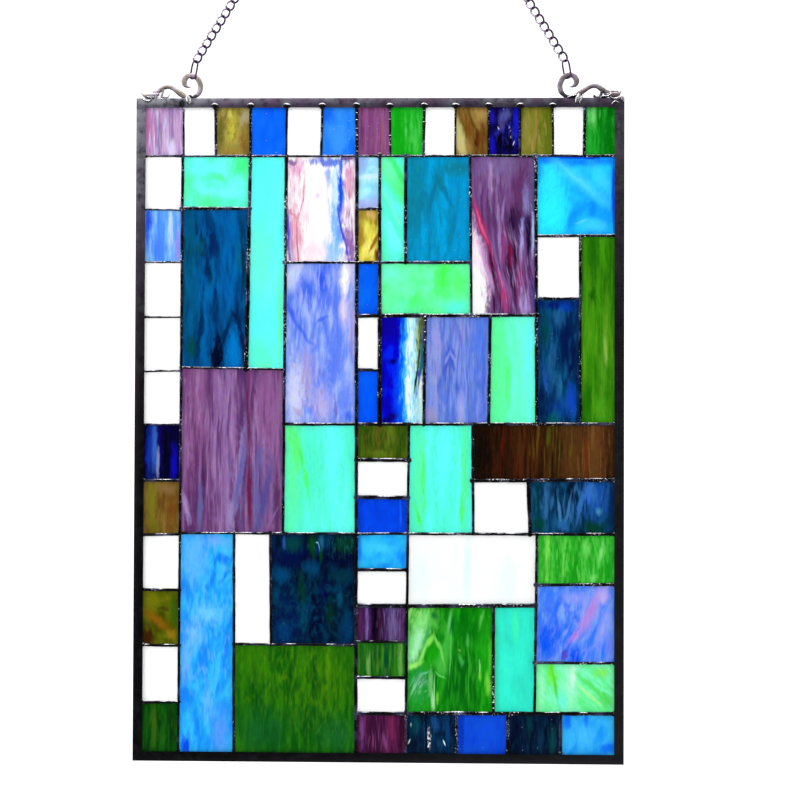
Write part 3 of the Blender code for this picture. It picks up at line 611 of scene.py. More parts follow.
TOP_TILES = [
    look((156, 122, 172), (180, 148, 200), (208, 188, 226), 1.8, 18, -3, [
        ((196, 120, 182), 12, 30, 4, 22), ((150, 124, 176), 22, 34, 2, 18, 0, 1.4),
        strands((224, 212, 240), 24, 34, 20, 26, 1.3, 24, 0.53),
        strands((120, 96, 150), 26, 34, 16, 26, 1, 26, 0.56, 0.7),
        strands((204, 130, 188), 18, 30, 14, 26, 1.2, 24, 0.55, 0.7),
        ((222, 208, 240), 34, 46, 4, 8, 0, 1.5), ((198, 158, 206), 39, 30, 3, 14, 0, 1.5)],
        sway=(2, 6), thread=0.12),
    WHITE,
    look((108, 92, 48), (138, 122, 58), (160, 146, 72), 4, 2.4, 6, [
        ((190, 184, 62), 90, 27, 4, 14, 4), ((104, 100, 34), 79, 32, 3, 14),
        ((172, 160, 130), 102, 18, 3, 7, 10), ((128, 94, 40), 102, 42, 4, 11),
        ((160, 134, 56), 90, 49, 7, 4), ((206, 200, 96), 88, 15, 2, 3, 0, 1.4),
        strands((192, 176, 70), 92, 30, 14, 20, 1.6, 6, 0.56, 0.7, 10),
        strands((92, 76, 30), 92, 34, 14, 20, 1.6, 6, 0.56, 0.6, 10)], 0.8, sway=(2, 3)),
    look((3, 92, 246), (8, 102, 250), (20, 112, 252), 8, 3, 0, (), 0.9, thread=0.04),
    WHITE,
    look((22, 114, 244), (36, 132, 250), (50, 144, 252), 8, 3, 0, [
        ((18, 104, 244), 178, 14, 7, 9, 0, 1.7), ((56, 148, 252), 190, 40, 8, 14, 0, 1.7)],
        0.5, thread=0.06),
    look((118, 62, 114), (138, 74, 128), (152, 90, 140), 1.8, 18, 0, [
        ((106, 52, 106), 212, 30, 2, 22, 0, 1.5),
        strands((164, 100, 140), 223, 30, 14, 24, 1.1, 26, 0.54, 0.7),
        strands((104, 50, 110), 223, 30, 14, 24, 1.1, 26, 0.54, 0.7),
        ((146, 90, 104), 231, 34, 1, 18, 0, 1.3)], 0.4, sway=(2, 5)),
    look((12, 164, 20), (24, 178, 34), (38, 188, 48), 2.6, 14, 0, [
        strands((96, 208, 104), 257, 28, 12, 22, 1.5, 20, 0.53, 0.55),
        ((12, 162, 18), 246, 28, 5, 26, 0, 1.5), ((64, 196, 72), 262, 40, 2, 12)], sway=(2, 5)),
    WHITE,
    look((96, 62, 20), (122, 94, 38), (146, 120, 56), 2.8, 7, -12, [
        ((196, 188, 120), 303, 38, 5.6, 24, -14, 1.1, 1.2), ((168, 140, 76), 324, 15, 6, 7),
        ((116, 72, 18), 311, 26, 3, 15, -14, 1.4), ((70, 20, 6), 320, 40, 2.4, 10, 0, 1.3),
        ((104, 66, 20), 325, 40, 4, 14), ((150, 116, 60), 312, 46, 3, 8, -10, 1.5)], sway=(2, 4)),
    look((3, 0, 40), (6, 2, 64), (16, 8, 92), 3.4, 3, 10, [
        ((14, 22, 206), 356, 26, 2.2, 17, 0, 1.3), ((80, 84, 150), 346, 16, 4, 7, 15, 1.5),
        ((22, 14, 176), 334, 44, 2.8, 9, 0, 1.4), ((70, 60, 120), 343, 26, 2, 5, 20, 1.3),
        ((26, 16, 160), 334, 18, 2.4, 7, 0, 1.4), ((2, 0, 18), 346, 40, 7, 8, 0, 1.4),
        strands((40, 44, 170), 345, 28, 14, 22, 1.6, 10, 0.56, 0.7),
        strands((210, 214, 230), 350, 30, 1.4, 6, 0.9, 3, 0.51, 0.9, 20),
        ((190, 196, 216), 340, 28, 0.4, 1.8, -24, 0.9, 1.6),
        ((206, 208, 220), 353.6, 41, 0.5, 1.8, 24, 0.9, 1.6)], 0.8, sway=(3, 5)),
    look((78, 90, 6), (102, 108, 18), (122, 124, 36), 2.6, 10, 0, [
        ((134, 130, 52), 366, 30, 4, 24), ((150, 116, 64), 374, 28, 1.2, 18, 4, 1.4),
        ((92, 104, 16), 385, 34, 4, 24), strands((152, 146, 76), 374, 30, 14, 24, 1.3, 16, 0.55, 0.6)],
        0.4, sway=(2, 5)),
    WHITE,
    look((2, 122, 12), (14, 146, 24), (36, 166, 50), 2.4, 14, 0, [
        ((112, 208, 112), 428, 15, 2.4, 9), ((92, 198, 98), 424, 16, 1.6, 9, 0, 1.5),
        ((0, 112, 10), 442, 38, 5, 20, 0, 1.7), ((0, 108, 14), 444, 14, 2.4, 8),
        ((34, 166, 46), 424, 42, 4, 14, 0, 1.7),
        strands((84, 196, 92), 429, 20, 8, 12, 1.3, 16, 0.56, 0.5),
        strands((0, 106, 10), 437, 36, 9, 20, 1.4, 24, 0.55, 0.5)], sway=(2, 5)),
]

LEFT_TILES = [
    WHITE,
    look((76, 146, 250), (102, 172, 252), (136, 196, 252), 2.6, 14, -3, [
        ((40, 84, 240), 12, 118, 3, 16), ((184, 220, 252), 32, 120, 1.6, 24, 0, 1.3),
        strands((190, 214, 252), 34, 126, 8, 24, 1.1, 26, 0.53),
        strands((54, 114, 248), 20, 130, 14, 24, 1.4, 26, 0.54, 0.6),
        ((146, 146, 244), 39, 140, 2.4, 14, 0, 1.5), ((70, 130, 250), 22, 142, 5, 12, 0, 1.7)],
        sway=(2, 5)),
    WHITE,
    WHITE,
    WHITE,
    look((1, 0, 30), (4, 1, 52), (12, 6, 96), 3, 9, 0, [
        ((18, 48, 166), 15, 330, 3.4, 28, 0, 1.5), ((52, 96, 184), 19, 326, 2, 24, 0, 1.4),
        ((120, 132, 190), 22, 342, 1.3, 15, 0, 1.2), ((12, 6, 176), 37, 346, 3, 16, 0, 1.5),
        ((1, 0, 22), 29, 332, 3.2, 28, 0, 1.3)], sway=(2, 5)),
    look((98, 68, 24), (114, 88, 32), (126, 106, 44), 3.6, 4, 0, [
        ((116, 114, 22), 17, 380, 3.4, 22, 0, 1.8), ((108, 68, 22), 36, 386, 4, 18, 0, 1.8),
        ((130, 100, 56), 30, 367, 8, 5, 0, 1.7), ((104, 98, 22), 20, 402, 5, 5),
        strands((132, 92, 36), 28, 384, 16, 22, 1.8, 14, 0.55, 0.6)], sway=(2, 5)),
    WHITE,
    look((64, 68, 2), (84, 94, 4), (102, 108, 8), 8, 1.4, -50, [
        ((130, 90, 8), 22, 490, 4, 17, -58), ((60, 30, 2), 13, 506, 6, 8),
        ((112, 114, 10), 17, 470, 6, 7, 0, 1.7), ((56, 92, 6), 39, 480, 3.4, 13),
        ((140, 114, 16), 36, 502, 4.4, 4.4), ((66, 66, 2), 27, 479, 5, 2, 10, 1.4)], sway=(3, 4)),
    WHITE,
    look((0, 54, 6), (6, 74, 8), (16, 92, 10), 2.6, 8, 0, [
        ((56, 96, 12), 20, 588, 2.4, 17), ((2, 48, 8), 36, 588, 3, 20),
        strands((44, 96, 16), 26, 590, 16, 22, 1.4, 20, 0.54, 0.7),
        strands((2, 46, 8), 30, 590, 16, 22, 1.4, 20, 0.54, 0.6)], sway=(2, 5)),
]

PANES = {
    "aqua_upper": look((84, 250, 196), (97, 253, 228), (110, 254, 246), 14, 0.8, 10, [
        ((72, 250, 144), 100, 64, 10, 10), ((84, 252, 166), 66, 97, 12, 6, 14),
        ((86, 252, 176), 49, 80, 5, 16), ((104, 254, 252), 62, 66, 12, 7),
        ((112, 254, 250), 86, 88, 14, 4, 8), ((84, 252, 166), 78, 74, 8, 3, 16)],
        sway=(3, 4), thread=0.06),
    "teal_flame": look((0, 60, 112), (0, 78, 142), (0, 94, 162), 5, 5, 0, [
        ((0, 84, 124), 50, 160, 9, 60), ((0, 90, 166), 88, 160, 8, 34, 0, 1.5),
        ((0, 36, 92), 70, 134, 6, 24, -6, 1.2), ((0, 34, 84), 60, 122, 5, 12, 0, 1.3),
        ((0, 66, 84), 48, 140, 4, 10, 0, 1.4), ((0, 74, 74), 54, 232, 5, 9, 0, 1.4),
        ((0, 100, 172), 72, 180, 9, 10, 0, 1.4), ((0, 42, 84), 62, 212, 2.4, 34, 4, 1.2),
        ((0, 42, 96), 75, 196, 2, 30, -3, 1.2), ((0, 36, 84), 66, 160, 3, 16, -14, 1.3),
        ((0, 30, 80), 99, 222, 2.6, 34, -8, 1.1), ((0, 116, 196), 92, 240, 6, 22, 0, 1),
        ((0, 36, 84), 86, 220, 1.8, 18, 18, 1), ((0, 30, 78), 94, 206, 2, 8, -30, 1),
        ((0, 6, 40), 77, 244, 6, 22, 0, 0.8), ((0, 46, 60), 101, 148, 2, 34, 0, 1.3),
        ((4, 76, 66), 58, 138, 5, 9, 0, 1.7, 2, 0.7), ((8, 84, 56), 96, 150, 2.4, 10, 0, 1.6, 2, 0.7),
        strands((0, 104, 170), 74, 150, 34, 60, 3, 26, 0.52, 0.6),
        strands((0, 44, 90), 74, 190, 34, 70, 3, 30, 0.52, 0.6)], sway=(4, 9)),
    "cyan_tall": look((90, 252, 244), (96, 254, 250), (106, 254, 253), 18, 2, 0, [
        ((92, 252, 216), 118, 240, 12, 12, 0, 1.8), ((104, 252, 186), 136, 210, 2.4, 40, 0, 1.8),
        ((104, 254, 226), 118, 150, 10, 30, 0, 1.8), ((104, 252, 196), 122, 249, 6, 4)], thread=0.05),
    "pink_wisp": look((248, 240, 250), (255, 252, 255), (255, 255, 255), 5, 4, 0, [
        strands((236, 190, 224), 201, 105, 9, 56, 2.4, 22, 0.46, 0.9),
        strands((244, 206, 226), 151, 110, 10, 54, 2.6, 24, 0.48),
        ((232, 160, 206), 149, 62, 8, 6, 0, 1.4, 2.6, 0.8),
        ((110, 70, 150), 146, 57, 5, 2.2, 0, 1.2, 2.4, 0.8),
        ((176, 228, 252), 188, 96, 4.4, 44, 0, 1.6, 3, 0.75),
        ((60, 100, 222), 182, 59, 16, 4, 0, 1.2, 2.8, 0.9),
        ((126, 160, 244), 181, 70, 2.4, 9, 0, 1.3, 2.8, 0.8),
        ((12, 84, 238), 193, 88, 2.2, 36, 2, 1.1, 2.2),
        ((24, 96, 236), 191.5, 122, 1.8, 12, 10, 1.4, 2.6, 0.7),
        strands((96, 168, 248), 188, 104, 7, 52, 1.4, 18, 0.55),
        ((90, 50, 140), 200, 57, 7, 2.4, 0, 1.2, 2.4, 0.8),
        ((208, 112, 162), 201, 79, 3.6, 13, 0, 1.6, 3, 0.6),
        ((206, 168, 230), 200, 134, 5, 24, -6, 1.6, 2.8, 0.6),
        strands((150, 60, 116), 202, 104, 6, 52, 1, 20, 0.55),
        strands((190, 80, 110), 151, 104, 9, 52, 1, 24, 0.58, 0.85),
        ((104, 170, 248), 189, 126, 3.4, 22, -8, 1.4, 2.8, 0.75),
        ((120, 190, 252), 185, 145, 8, 12, 0, 1.5, 2.8, 0.75),
        ((130, 76, 160), 201, 138, 3, 22, -12, 1.1, 2.6, 0.8),
        ((40, 60, 214), 196, 132, 1.3, 26, -12, 1, 2, 0.9), ((22, 56, 218), 142.8, 118, 1.8, 22, -3, 1.2),
        ((60, 40, 170), 145, 148, 1.4, 14, -6, 1.2, 2, 0.8),
        ((170, 120, 196), 146, 134, 2.2, 28, -4, 1.2, 2.6, 0.7),
        ((206, 64, 104), 157.4, 86, 0.6, 17, 2, 0.9, 2.2, 0.9),
        ((200, 80, 110), 155.6, 100, 0.6, 9, 12, 0.9, 2.2, 0.8),
        ((210, 96, 128), 147, 106, 1, 10, -34, 1.4, 2.8, 0.6),
        ((226, 130, 160), 151, 116, 3.4, 20, -14, 1.6, 2.6, 0.5),
        ((190, 70, 110), 152.6, 138, 0.7, 18, -3, 0.9, 2.4, 0.9),
        ((222, 140, 170), 150, 132, 3, 24, -4, 1.6, 2.6, 0.5),
        ((250, 216, 232), 166, 144, 8, 7, 0, 1.6, 2.6, 0.7),
        ((226, 196, 240), 170, 92, 1.8, 3, 0, 1.4, 1.6, 0.8)], thread=0.05),
    "periwinkle": look((88, 124, 242), (122, 154, 246), (160, 184, 250), 4.6, 4, 4, [
        ((198, 210, 250), 150, 166, 10, 12, 0, 1.5), ((208, 208, 248), 200, 164, 7, 14),
        ((26, 80, 240), 176, 172, 6, 15, 6, 1.3), ((60, 104, 240), 160, 182, 7, 14, 0, 1.4),
        ((90, 126, 244), 184, 190, 12, 12), ((255, 252, 254), 196.5, 171, 3.2, 14, 0, 1),
        ((226, 214, 248), 196, 198, 4, 13, 0, 1.4), ((176, 168, 226), 204, 216, 4, 24, 0, 1.5),
        strands((176, 190, 248), 174, 230, 34, 80, 2.4, 26, 0.52, 0.7),
        strands((84, 112, 236), 174, 240, 34, 76, 2.4, 30, 0.54, 0.6),
        ((40, 84, 238), 147, 204, 2.4, 14, -24, 1.7, 1.4, 0.8),
        ((44, 90, 238), 158, 221, 1.8, 13, -40, 1.7, 1.4, 0.7), ((70, 108, 240), 176, 209, 1.6, 6, 50),
        ((166, 160, 222), 160, 262, 7, 22, 0, 1.7), ((180, 176, 232), 176, 286, 8, 16, 0, 1.7),
        ((206, 210, 248), 150, 276, 7, 26), ((92, 126, 244), 186, 244, 7, 30, 6),
        ((104, 136, 245), 197, 284, 7, 16, 0, 1.5), ((118, 88, 176), 189, 290, 1.3, 11, -6, 1.5, 2, 0.55),
        ((170, 140, 190), 152, 294, 2.2, 6, -30, 1.7, 2, 0.6), ((66, 110, 245), 201, 299, 3, 4, 0, 1.4),
        strands((150, 120, 180), 166, 270, 18, 36, 1.6, 16, 0.57, 0.6)]),
    "plum_big": look((88, 46, 98), (116, 70, 124), (140, 96, 150), 3, 16, 0, [
        ((142, 106, 166), 84, 320, 9, 80), ((138, 86, 138), 56, 300, 7, 50),
        ((140, 90, 146), 122, 300, 8, 60), ((82, 48, 106), 102, 275, 3.4, 46, 0, 1.5),
        ((104, 94, 156), 114, 372, 9, 34, 0, 1.7), ((150, 128, 184), 98, 350, 3, 40, 6, 1.5),
        strands((168, 128, 182), 84, 330, 40, 84, 2.2, 44, 0.51, 0.7),
        strands((82, 40, 96), 88, 330, 46, 84, 2, 50, 0.52),
        strands((98, 94, 158), 114, 360, 24, 50, 2, 34, 0.52, 0.7),
        ((70, 34, 78), 64, 372, 1.8, 36, 2, 1.4, 1.2), ((98, 92, 150), 61.5, 388, 2.4, 24, 2, 1.4),
        ((104, 32, 72), 107, 312, 1.4, 60, -1, 1.6, 1.2, 0.8),
        ((110, 20, 60), 108.4, 376, 2.2, 30, -2, 1.5, 1.4, 0.9),
        ((98, 96, 164), 98, 356, 2.4, 34, 8, 1.4), ((84, 72, 142), 122, 376, 3, 28, 12, 1.4),
        ((88, 50, 96), 133, 380, 3, 28, 0, 1.4), ((146, 128, 182), 90, 394, 3, 14, 0, 1.4),
        ((160, 134, 190), 49, 384, 2.2, 13, -14, 1.4), ((104, 56, 110), 56, 396, 1.6, 10, -20, 1.2),
        ((136, 90, 150), 128, 396, 1.2, 12, 24, 1.2)], sway=(3, 8), thread=0.12),
    "turquoise_low": look((80, 246, 206), (88, 253, 224), (100, 254, 244), 7, 8, 0, [
        ((92, 252, 172), 148, 350, 8, 56, 0, 1.8), ((92, 250, 124), 151, 326, 5, 18, -14, 1.5),
        ((68, 240, 92), 157, 338, 1.4, 7, -4, 1.3), ((80, 250, 124), 161, 358, 2.2, 18, -8, 1.4),
        ((98, 254, 254), 186, 330, 8, 40, 0, 1.8), ((96, 254, 240), 190, 380, 3, 26)], thread=0.06),
    "pale_blue": look((140, 208, 251), (150, 224, 252), (172, 238, 252), 9, 0.8, 0, [
        ((150, 186, 250), 212, 62, 6, 8), ((204, 240, 252), 220, 74, 12, 2.4, -6, 1.4),
        ((128, 216, 251), 222, 84, 9, 4), ((172, 186, 249), 219, 100, 13, 5, 0, 1.5),
        ((176, 244, 253), 214, 88, 8, 4, -12)], sway=(2, 3), thread=0.06),
    "amber": look((158, 128, 34), (208, 196, 62), (236, 226, 88), 4.6, 2.6, 12, [
        ((160, 132, 50), 212, 110, 4, 7, 0, 1.5), ((208, 172, 100), 221, 108, 4, 4, 0, 1.5),
        ((170, 132, 44), 212.5, 126, 1.8, 10, 10, 1.4), ((250, 240, 120), 219, 142, 5, 8, 0, 1.4),
        ((116, 56, 6), 227, 149, 2.6, 8, 0, 1.2), ((164, 104, 30), 224, 134, 1.6, 11, 26, 1.3),
        ((232, 222, 92), 217, 122, 4, 8, 0, 1.5)], sway=(2, 4)),
    "mint_sweep": look((86, 252, 214), (96, 254, 236), (108, 254, 250), 9, 2.4, -25, [
        ((84, 250, 144), 247, 80, 9, 34, -32, 1, 1), ((108, 252, 184), 236, 64, 7, 14, -20, 1.5),
        ((66, 242, 124), 247, 70, 2.6, 22, -30, 1.3, 1.2),
        ((130, 254, 222), 237, 96, 1.6, 26, -28, 1.2, 1.2, 0.5), ((88, 252, 176), 231, 146, 5, 10),
        ((112, 254, 252), 242, 128, 3, 18, -24, 1.3)], sway=(2, 5), thread=0.06),
    "lagoon": look((4, 132, 178), (2, 148, 202), (2, 160, 222), 5, 4, 4, [
        ((8, 130, 158), 262, 90, 8, 44, 0, 1.7), ((4, 146, 208), 302, 110, 8, 36, 0, 1.7),
        ((8, 106, 140), 279, 90, 2.8, 20, 20, 1.7, 1.4, 0.8),
        ((8, 106, 140), 288, 85, 2.4, 14, -30, 1.7, 1.4, 0.8), ((10, 118, 148), 284, 76, 4, 9, 0, 1.5),
        ((8, 114, 150), 267, 98, 2.4, 15, 12, 1.7, 1.6, 0.6),
        ((8, 114, 150), 273, 94, 2, 13, -16, 1.7, 1.6, 0.6), ((12, 124, 150), 302, 66, 12, 6),
        ((2, 160, 222), 268, 132, 3, 20, 6, 1.5), ((6, 126, 166), 296, 124, 3, 24, 8, 1.4),
        strands((10, 120, 152), 284, 112, 30, 46, 3, 26, 0.52, 0.6)], 0.2, sway=(3, 8)),
    "violet_wisp": look((88, 50, 100), (106, 66, 124), (124, 84, 144), 3, 9, -3, [
        ((118, 96, 150), 345, 64, 24, 11, 0, 1.8),
        strands((148, 116, 172), 334, 82, 14, 26, 1.8, 26, 0.54, 0.6),
        ((170, 138, 192), 332.6, 80, 1.6, 20, 0, 1.5), ((96, 48, 98), 362, 84, 8, 26, 0, 1.7),
        ((92, 92, 140), 372, 96, 3, 22), ((150, 122, 180), 344, 108, 1.3, 12, 4, 1.4),
        strands((84, 44, 98), 352, 96, 24, 40, 2.2, 26, 0.52, 0.6),
        ((128, 120, 180), 366, 96, 3, 16, 0, 1.5), ((52, 22, 66), 355, 114, 6, 12, 0, 1.4),
        ((64, 40, 92), 366, 118, 8, 10, 0, 1.5), ((26, 10, 48), 368, 134, 2.2, 24, -3, 1.1),
        ((28, 8, 48), 354, 138, 2.4, 24, -4, 1.1), ((150, 150, 216), 361, 132, 1.6, 20, 2, 1.1),
        ((176, 184, 236), 372, 128, 1.5, 20, -2, 1.1), ((152, 118, 176), 340, 118, 1.5, 26, -4, 1.2),
        ((116, 20, 60), 351, 150, 2.6, 18, 0, 1.3), ((150, 60, 120), 345, 136, 1.4, 20, 0, 1.2),
        ((226, 180, 224), 321, 146, 6, 34, -14, 1.4, 1.4),
        ((250, 234, 251), 318, 150, 5.4, 32, -12, 1.3, 1.4),
        ((252, 238, 252), 319, 180, 8.6, 50, -5, 1.1), ((255, 255, 255), 319, 190, 6.4, 30, -3, 1),
        ((188, 46, 100), 326, 124, 2.4, 30, -18, 1.3), ((190, 140, 196), 329, 158, 2.2, 24, -13, 1.4),
        ((210, 90, 140), 325.4, 122, 0.9, 18, -18, 1.3), ((140, 28, 78), 335, 162, 2.2, 26, -14, 1.2),
        ((54, 14, 60), 338, 172, 2, 30, -12, 1.1), ((166, 60, 124), 345, 184, 3, 20, -12, 1.2),
        ((48, 8, 52), 353, 172, 2.8, 22, -8, 1.2), ((124, 40, 98), 360, 174, 4, 20, 0, 1.4),
        ((170, 146, 206), 364, 192, 4, 12, -10, 1.4), ((90, 70, 152), 372, 184, 2, 18, 0, 1.3),
        ((70, 20, 64), 336, 194, 1.6, 12, -10, 1.2),
        strands((40, 14, 54), 350, 160, 26, 46, 1.4, 26, 0.55, 0.7, -8),
        strands((180, 150, 208), 352, 160, 24, 46, 1.2, 26, 0.57, 0.6, -8)], sway=(3, 8), thread=0.12),
    "sky_wide": look((16, 160, 252), (26, 186, 252), (38, 206, 253), 12, 1.4, 50, [
        ((40, 240, 254), 388, 106, 15, 28, 0, 1.6, 1.4), ((44, 230, 254), 388, 78, 8, 16, 0, 1.7, 1.4),
        ((10, 132, 252), 424, 60, 26, 4, 0, 1.6, 1.4), ((10, 120, 252), 386, 58, 12, 4, 0, 1.5, 1.4),
        ((14, 156, 252), 441, 106, 8, 20, 0, 1.7, 1.4), ((12, 150, 252), 411, 112, 4, 13, 20, 1.7, 1.4),
        ((10, 140, 252), 428, 104, 4, 7, 0, 1.7, 1.4),
        ((56, 212, 254), 436, 76, 5, 16, -34, 1.8, 1.2, 0.8),
        ((70, 216, 254), 418, 80, 5, 32, -52, 1.8, 0.8, 0.7),
        ((96, 226, 254), 410, 74, 1.8, 20, -50, 1.6, 1, 0.4),
        ((66, 214, 254), 430, 120, 9, 5, 0, 1.7, 1.6, 0.8),
        # A painted glint of light on the glass, leaning up to the right.
        ((130, 236, 254), 417, 116.5, 4, 0.9, -17, 1.6, 1.8, 0.35),
        ((6, 84, 252), 412, 55.5, 40, 1.6, 0, 1.2, 1), ((6, 88, 252), 447.5, 92, 1.8, 40, 0, 1.3, 1)],
        sway=(4, 4), thread=0.05),
    "blue_small_1": look((3, 94, 244), (6, 104, 250), (12, 112, 252), 9, 2, 0, [
        ((2, 88, 240), 219, 199, 12, 5, 0, 1.3)], 0.2),
    "mint_wide": look((90, 249, 150), (102, 253, 166), (110, 253, 190), 10, 1.2, 20, [
        ((112, 253, 214), 240, 164, 9, 7, 0, 1.7), ((78, 250, 104), 288, 170, 7, 15, 10),
        ((100, 252, 190), 252, 196, 10, 7, 0, 1.7), ((82, 252, 122), 262, 190, 5, 9, 30),
        ((90, 253, 226), 300, 197, 11, 6), ((72, 248, 84), 289, 166, 2, 9, 0, 1.5),
        ((88, 252, 118), 304, 172, 7, 11)], sway=(3, 5), thread=0.06),
    "white_small_1": WHITE,
    "blue_small_2": look((0, 78, 238), (0, 86, 250), (2, 92, 252), 9, 2),
    "navy_wisp": look((4, 0, 176), (2, 2, 212), (0, 34, 240), 6, 2.6, 0, [
        ((10, 0, 158), 236, 214, 9, 14, 0, 1.5), ((0, 70, 250), 249, 282, 6, 26, 0, 1.5),
        ((0, 110, 250), 253.5, 250, 4.4, 90, 0, 1.2, 1.6), ((70, 200, 252), 257, 252, 4, 99, 0, 1.1, 1.8),
        ((184, 242, 250), 260.5, 252, 5, 99, 0, 1, 1.8), ((196, 244, 240), 268, 290, 5, 20, 0, 1.4),
        ((228, 252, 250), 257.5, 232, 2.6, 30, 0, 1.1), ((236, 252, 248), 257, 276, 2.4, 30, 0, 1.1),
        strands((80, 196, 252), 258, 255, 9, 60, 1.2, 14, 0.52),
        ((168, 190, 130), 266, 224, 3, 26, 2, 1.3), ((110, 120, 40), 267.5, 222, 1.8, 20, 4, 1.1),
        ((28, 110, 130), 268.5, 248, 1.8, 22, 0, 1.3), ((40, 70, 40), 264.6, 252, 0.9, 28, 5, 1.1),
        strands((44, 74, 24), 266, 242, 4, 46, 1.2, 12, 0.5, 0.9),
        ((26, 30, 30), 263.5, 266, 1, 9, 4, 1.2), ((8, 0, 110), 238, 300, 7, 3, -24, 1.2),
        ((4, 0, 120), 242, 246, 3.4, 2.2, -20, 1.4), ((240, 250, 236), 269, 274, 1.4, 12, 0, 1.2)],
        sway=(3, 6)),
    "violet_blue": look((80, 114, 214), (100, 132, 224), (124, 150, 234), 2.8, 11, 0, [
        ((146, 154, 222), 282, 240, 5, 44, 0, 1.7), ((130, 146, 222), 306, 218, 12, 9),
        ((76, 112, 224), 325, 262, 4, 46), ((70, 100, 204), 292, 252, 5, 15, 0, 1.5),
        strands((150, 158, 222), 301, 256, 30, 52, 1.8, 28, 0.53, 0.6),
        strands((70, 96, 196), 301, 250, 30, 52, 1.6, 26, 0.53, 0.7),
        ((70, 122, 234), 322, 226, 6, 22, 0, 1.8, 2, 0.6),
        *arches((62, 92, 202), 300, (208,), 13, 13, 1.8, 0.5),
        *arches((56, 86, 204), 295, (231, 243), 6.5, 22, 1.6, 0.75),
        *arches((150, 160, 232), 295, (237,), 6, 22, 1.2, 0.6),
        ((60, 92, 206), 286, 268, 2.6, 9, 8, 1.7, 1.6, 0.75),
        ((60, 92, 206), 302.5, 271, 1.8, 10, -8, 1.7, 1.6, 0.75),
        ((154, 162, 226), 305, 291, 3, 14, 0, 1.5), ((150, 144, 200), 279, 296, 5, 8, 0, 1.5),
        ((140, 120, 194), 307, 222, 0.7, 18, 0, 1.4, 1, 0.5)], sway=(3, 7), thread=0.12),
    "aqua_mid": look((94, 252, 176), (100, 253, 196), (108, 254, 222), 7, 7, 0, [
        ((94, 252, 158), 340, 255, 7, 50, 0, 1.8), ((88, 252, 134), 349, 268, 3, 26),
        ((104, 254, 248), 370, 235, 4, 40, 0, 1.7), ((102, 254, 234), 370, 286, 3, 14)], thread=0.06),
    "white_upper": WHITE,
    "green_tall": look((34, 112, 4), (50, 128, 7), (66, 144, 14), 3, 12, 0, [
        ((26, 98, 3), 428, 150, 4, 22), ((28, 100, 3), 440, 180, 2.6, 14, 0, 1.4),
        ((90, 150, 26), 441, 200, 2.4, 24, 0, 1.7, 2, 0.6), ((66, 146, 12), 424, 210, 4, 20, 0, 1.5),
        strands((92, 156, 28), 432, 230, 16, 60, 1.6, 40, 0.53, 0.7),
        strands((30, 104, 4), 430, 160, 16, 50, 1.6, 34, 0.52, 0.7),
        ((150, 192, 84), 439.5, 236, 1.8, 12, -3, 1.7, 1.2, 0.8),
        ((90, 158, 36), 437, 254, 2.6, 22, 0, 1.8, 2, 0.6), ((20, 92, 2), 428, 186, 3, 6),
        ((108, 164, 40), 440, 214, 2, 10, 0, 1.8, 2, 0.5), ((30, 106, 4), 424, 284, 3, 20, 0, 1.5),
        ((74, 152, 24), 436, 292, 5, 12)], sway=(2, 6)),
    "teal_upper": look((0, 36, 80), (2, 54, 100), (6, 74, 122), 3.4, 4, 0, [
        ((0, 26, 110), 396, 192, 18, 4, 0, 1.4), ((4, 60, 170), 402, 196, 5, 5, 0, 1.4),
        ((30, 96, 150), 397, 206, 5, 8, 0, 1.5), ((0, 22, 76), 402, 228, 5, 17, 0, 1.4),
        ((0, 66, 78), 384, 218, 4, 15), ((26, 90, 140), 390, 250, 2.6, 15, 0, 1.4),
        ((30, 88, 176), 384, 262, 3, 10, 0, 1.4), ((0, 18, 66), 408, 250, 3, 20, 0, 1.4),
        ((14, 70, 190), 408, 284, 4, 14, 0, 1.4), ((28, 104, 150), 396, 268, 2.6, 11, 0, 1.5),
        ((0, 90, 80), 391, 298, 4, 6, 0, 1.4), ((0, 26, 70), 381, 286, 2.6, 16, 0, 1.4),
        strands((30, 96, 150), 396, 246, 20, 60, 2.4, 22, 0.54, 0.5),
        strands((0, 22, 70), 396, 246, 20, 60, 2.6, 24, 0.53, 0.5),
        ((10, 60, 160), 398, 290, 9, 9, 0, 1.8, 2, 0.5)], 0.2),
    "olive": look((52, 80, 10), (70, 94, 12), (90, 114, 20), 3, 6, 4, [
        ((40, 72, 8), 219, 318, 5, 12, 0, 1.5), ((100, 80, 26), 229, 318, 2.4, 13, 6, 1.7, 2, 0.7),
        ((98, 122, 28), 239, 314, 3, 11, 8, 1.8, 2, 0.8), ((42, 80, 10), 249, 318, 4, 13, 0, 1.4),
        ((92, 118, 24), 230, 334, 8, 3, 0, 1.5),
        strands((96, 90, 26), 232, 320, 18, 16, 1.4, 14, 0.53, 0.7),
        strands((30, 66, 8), 236, 318, 20, 16, 1.4, 14, 0.53, 0.6)]),
    "white_mid_1": WHITE,
    "blue_mid": look((2, 60, 214), (1, 68, 232), (3, 76, 238), 9, 2, 0, [
        ((16, 92, 244), 248, 388, 0.9, 16, 0, 1)]),
    "turquoise_tall": look((78, 244, 206), (84, 253, 226), (94, 254, 246), 7, 8, 0, [
        ((88, 250, 180), 266, 356, 5, 56, 0, 1.8), ((84, 248, 126), 271, 356, 2, 26),
        ((76, 246, 104), 265, 392, 1.8, 11, -12, 1.4), ((86, 250, 164), 309, 350, 3, 50, 0, 1.8),
        ((82, 246, 120), 307, 386, 1.6, 12, 0, 1.5), ((94, 254, 254), 290, 336, 9, 40, 0, 1.8)],
        thread=0.06),
    "brown": look((40, 20, 5), (54, 28, 8), (70, 40, 14), 2.4, 16, 0, [
        ((16, 8, 3), 326, 330, 12, 50, 0, 1.8), ((34, 16, 5), 346, 330, 9, 50, 0, 1.8),
        ((80, 50, 20), 408, 330, 9, 50, 0, 1.8), ((94, 58, 26), 430, 328, 8, 50, 0, 1.8),
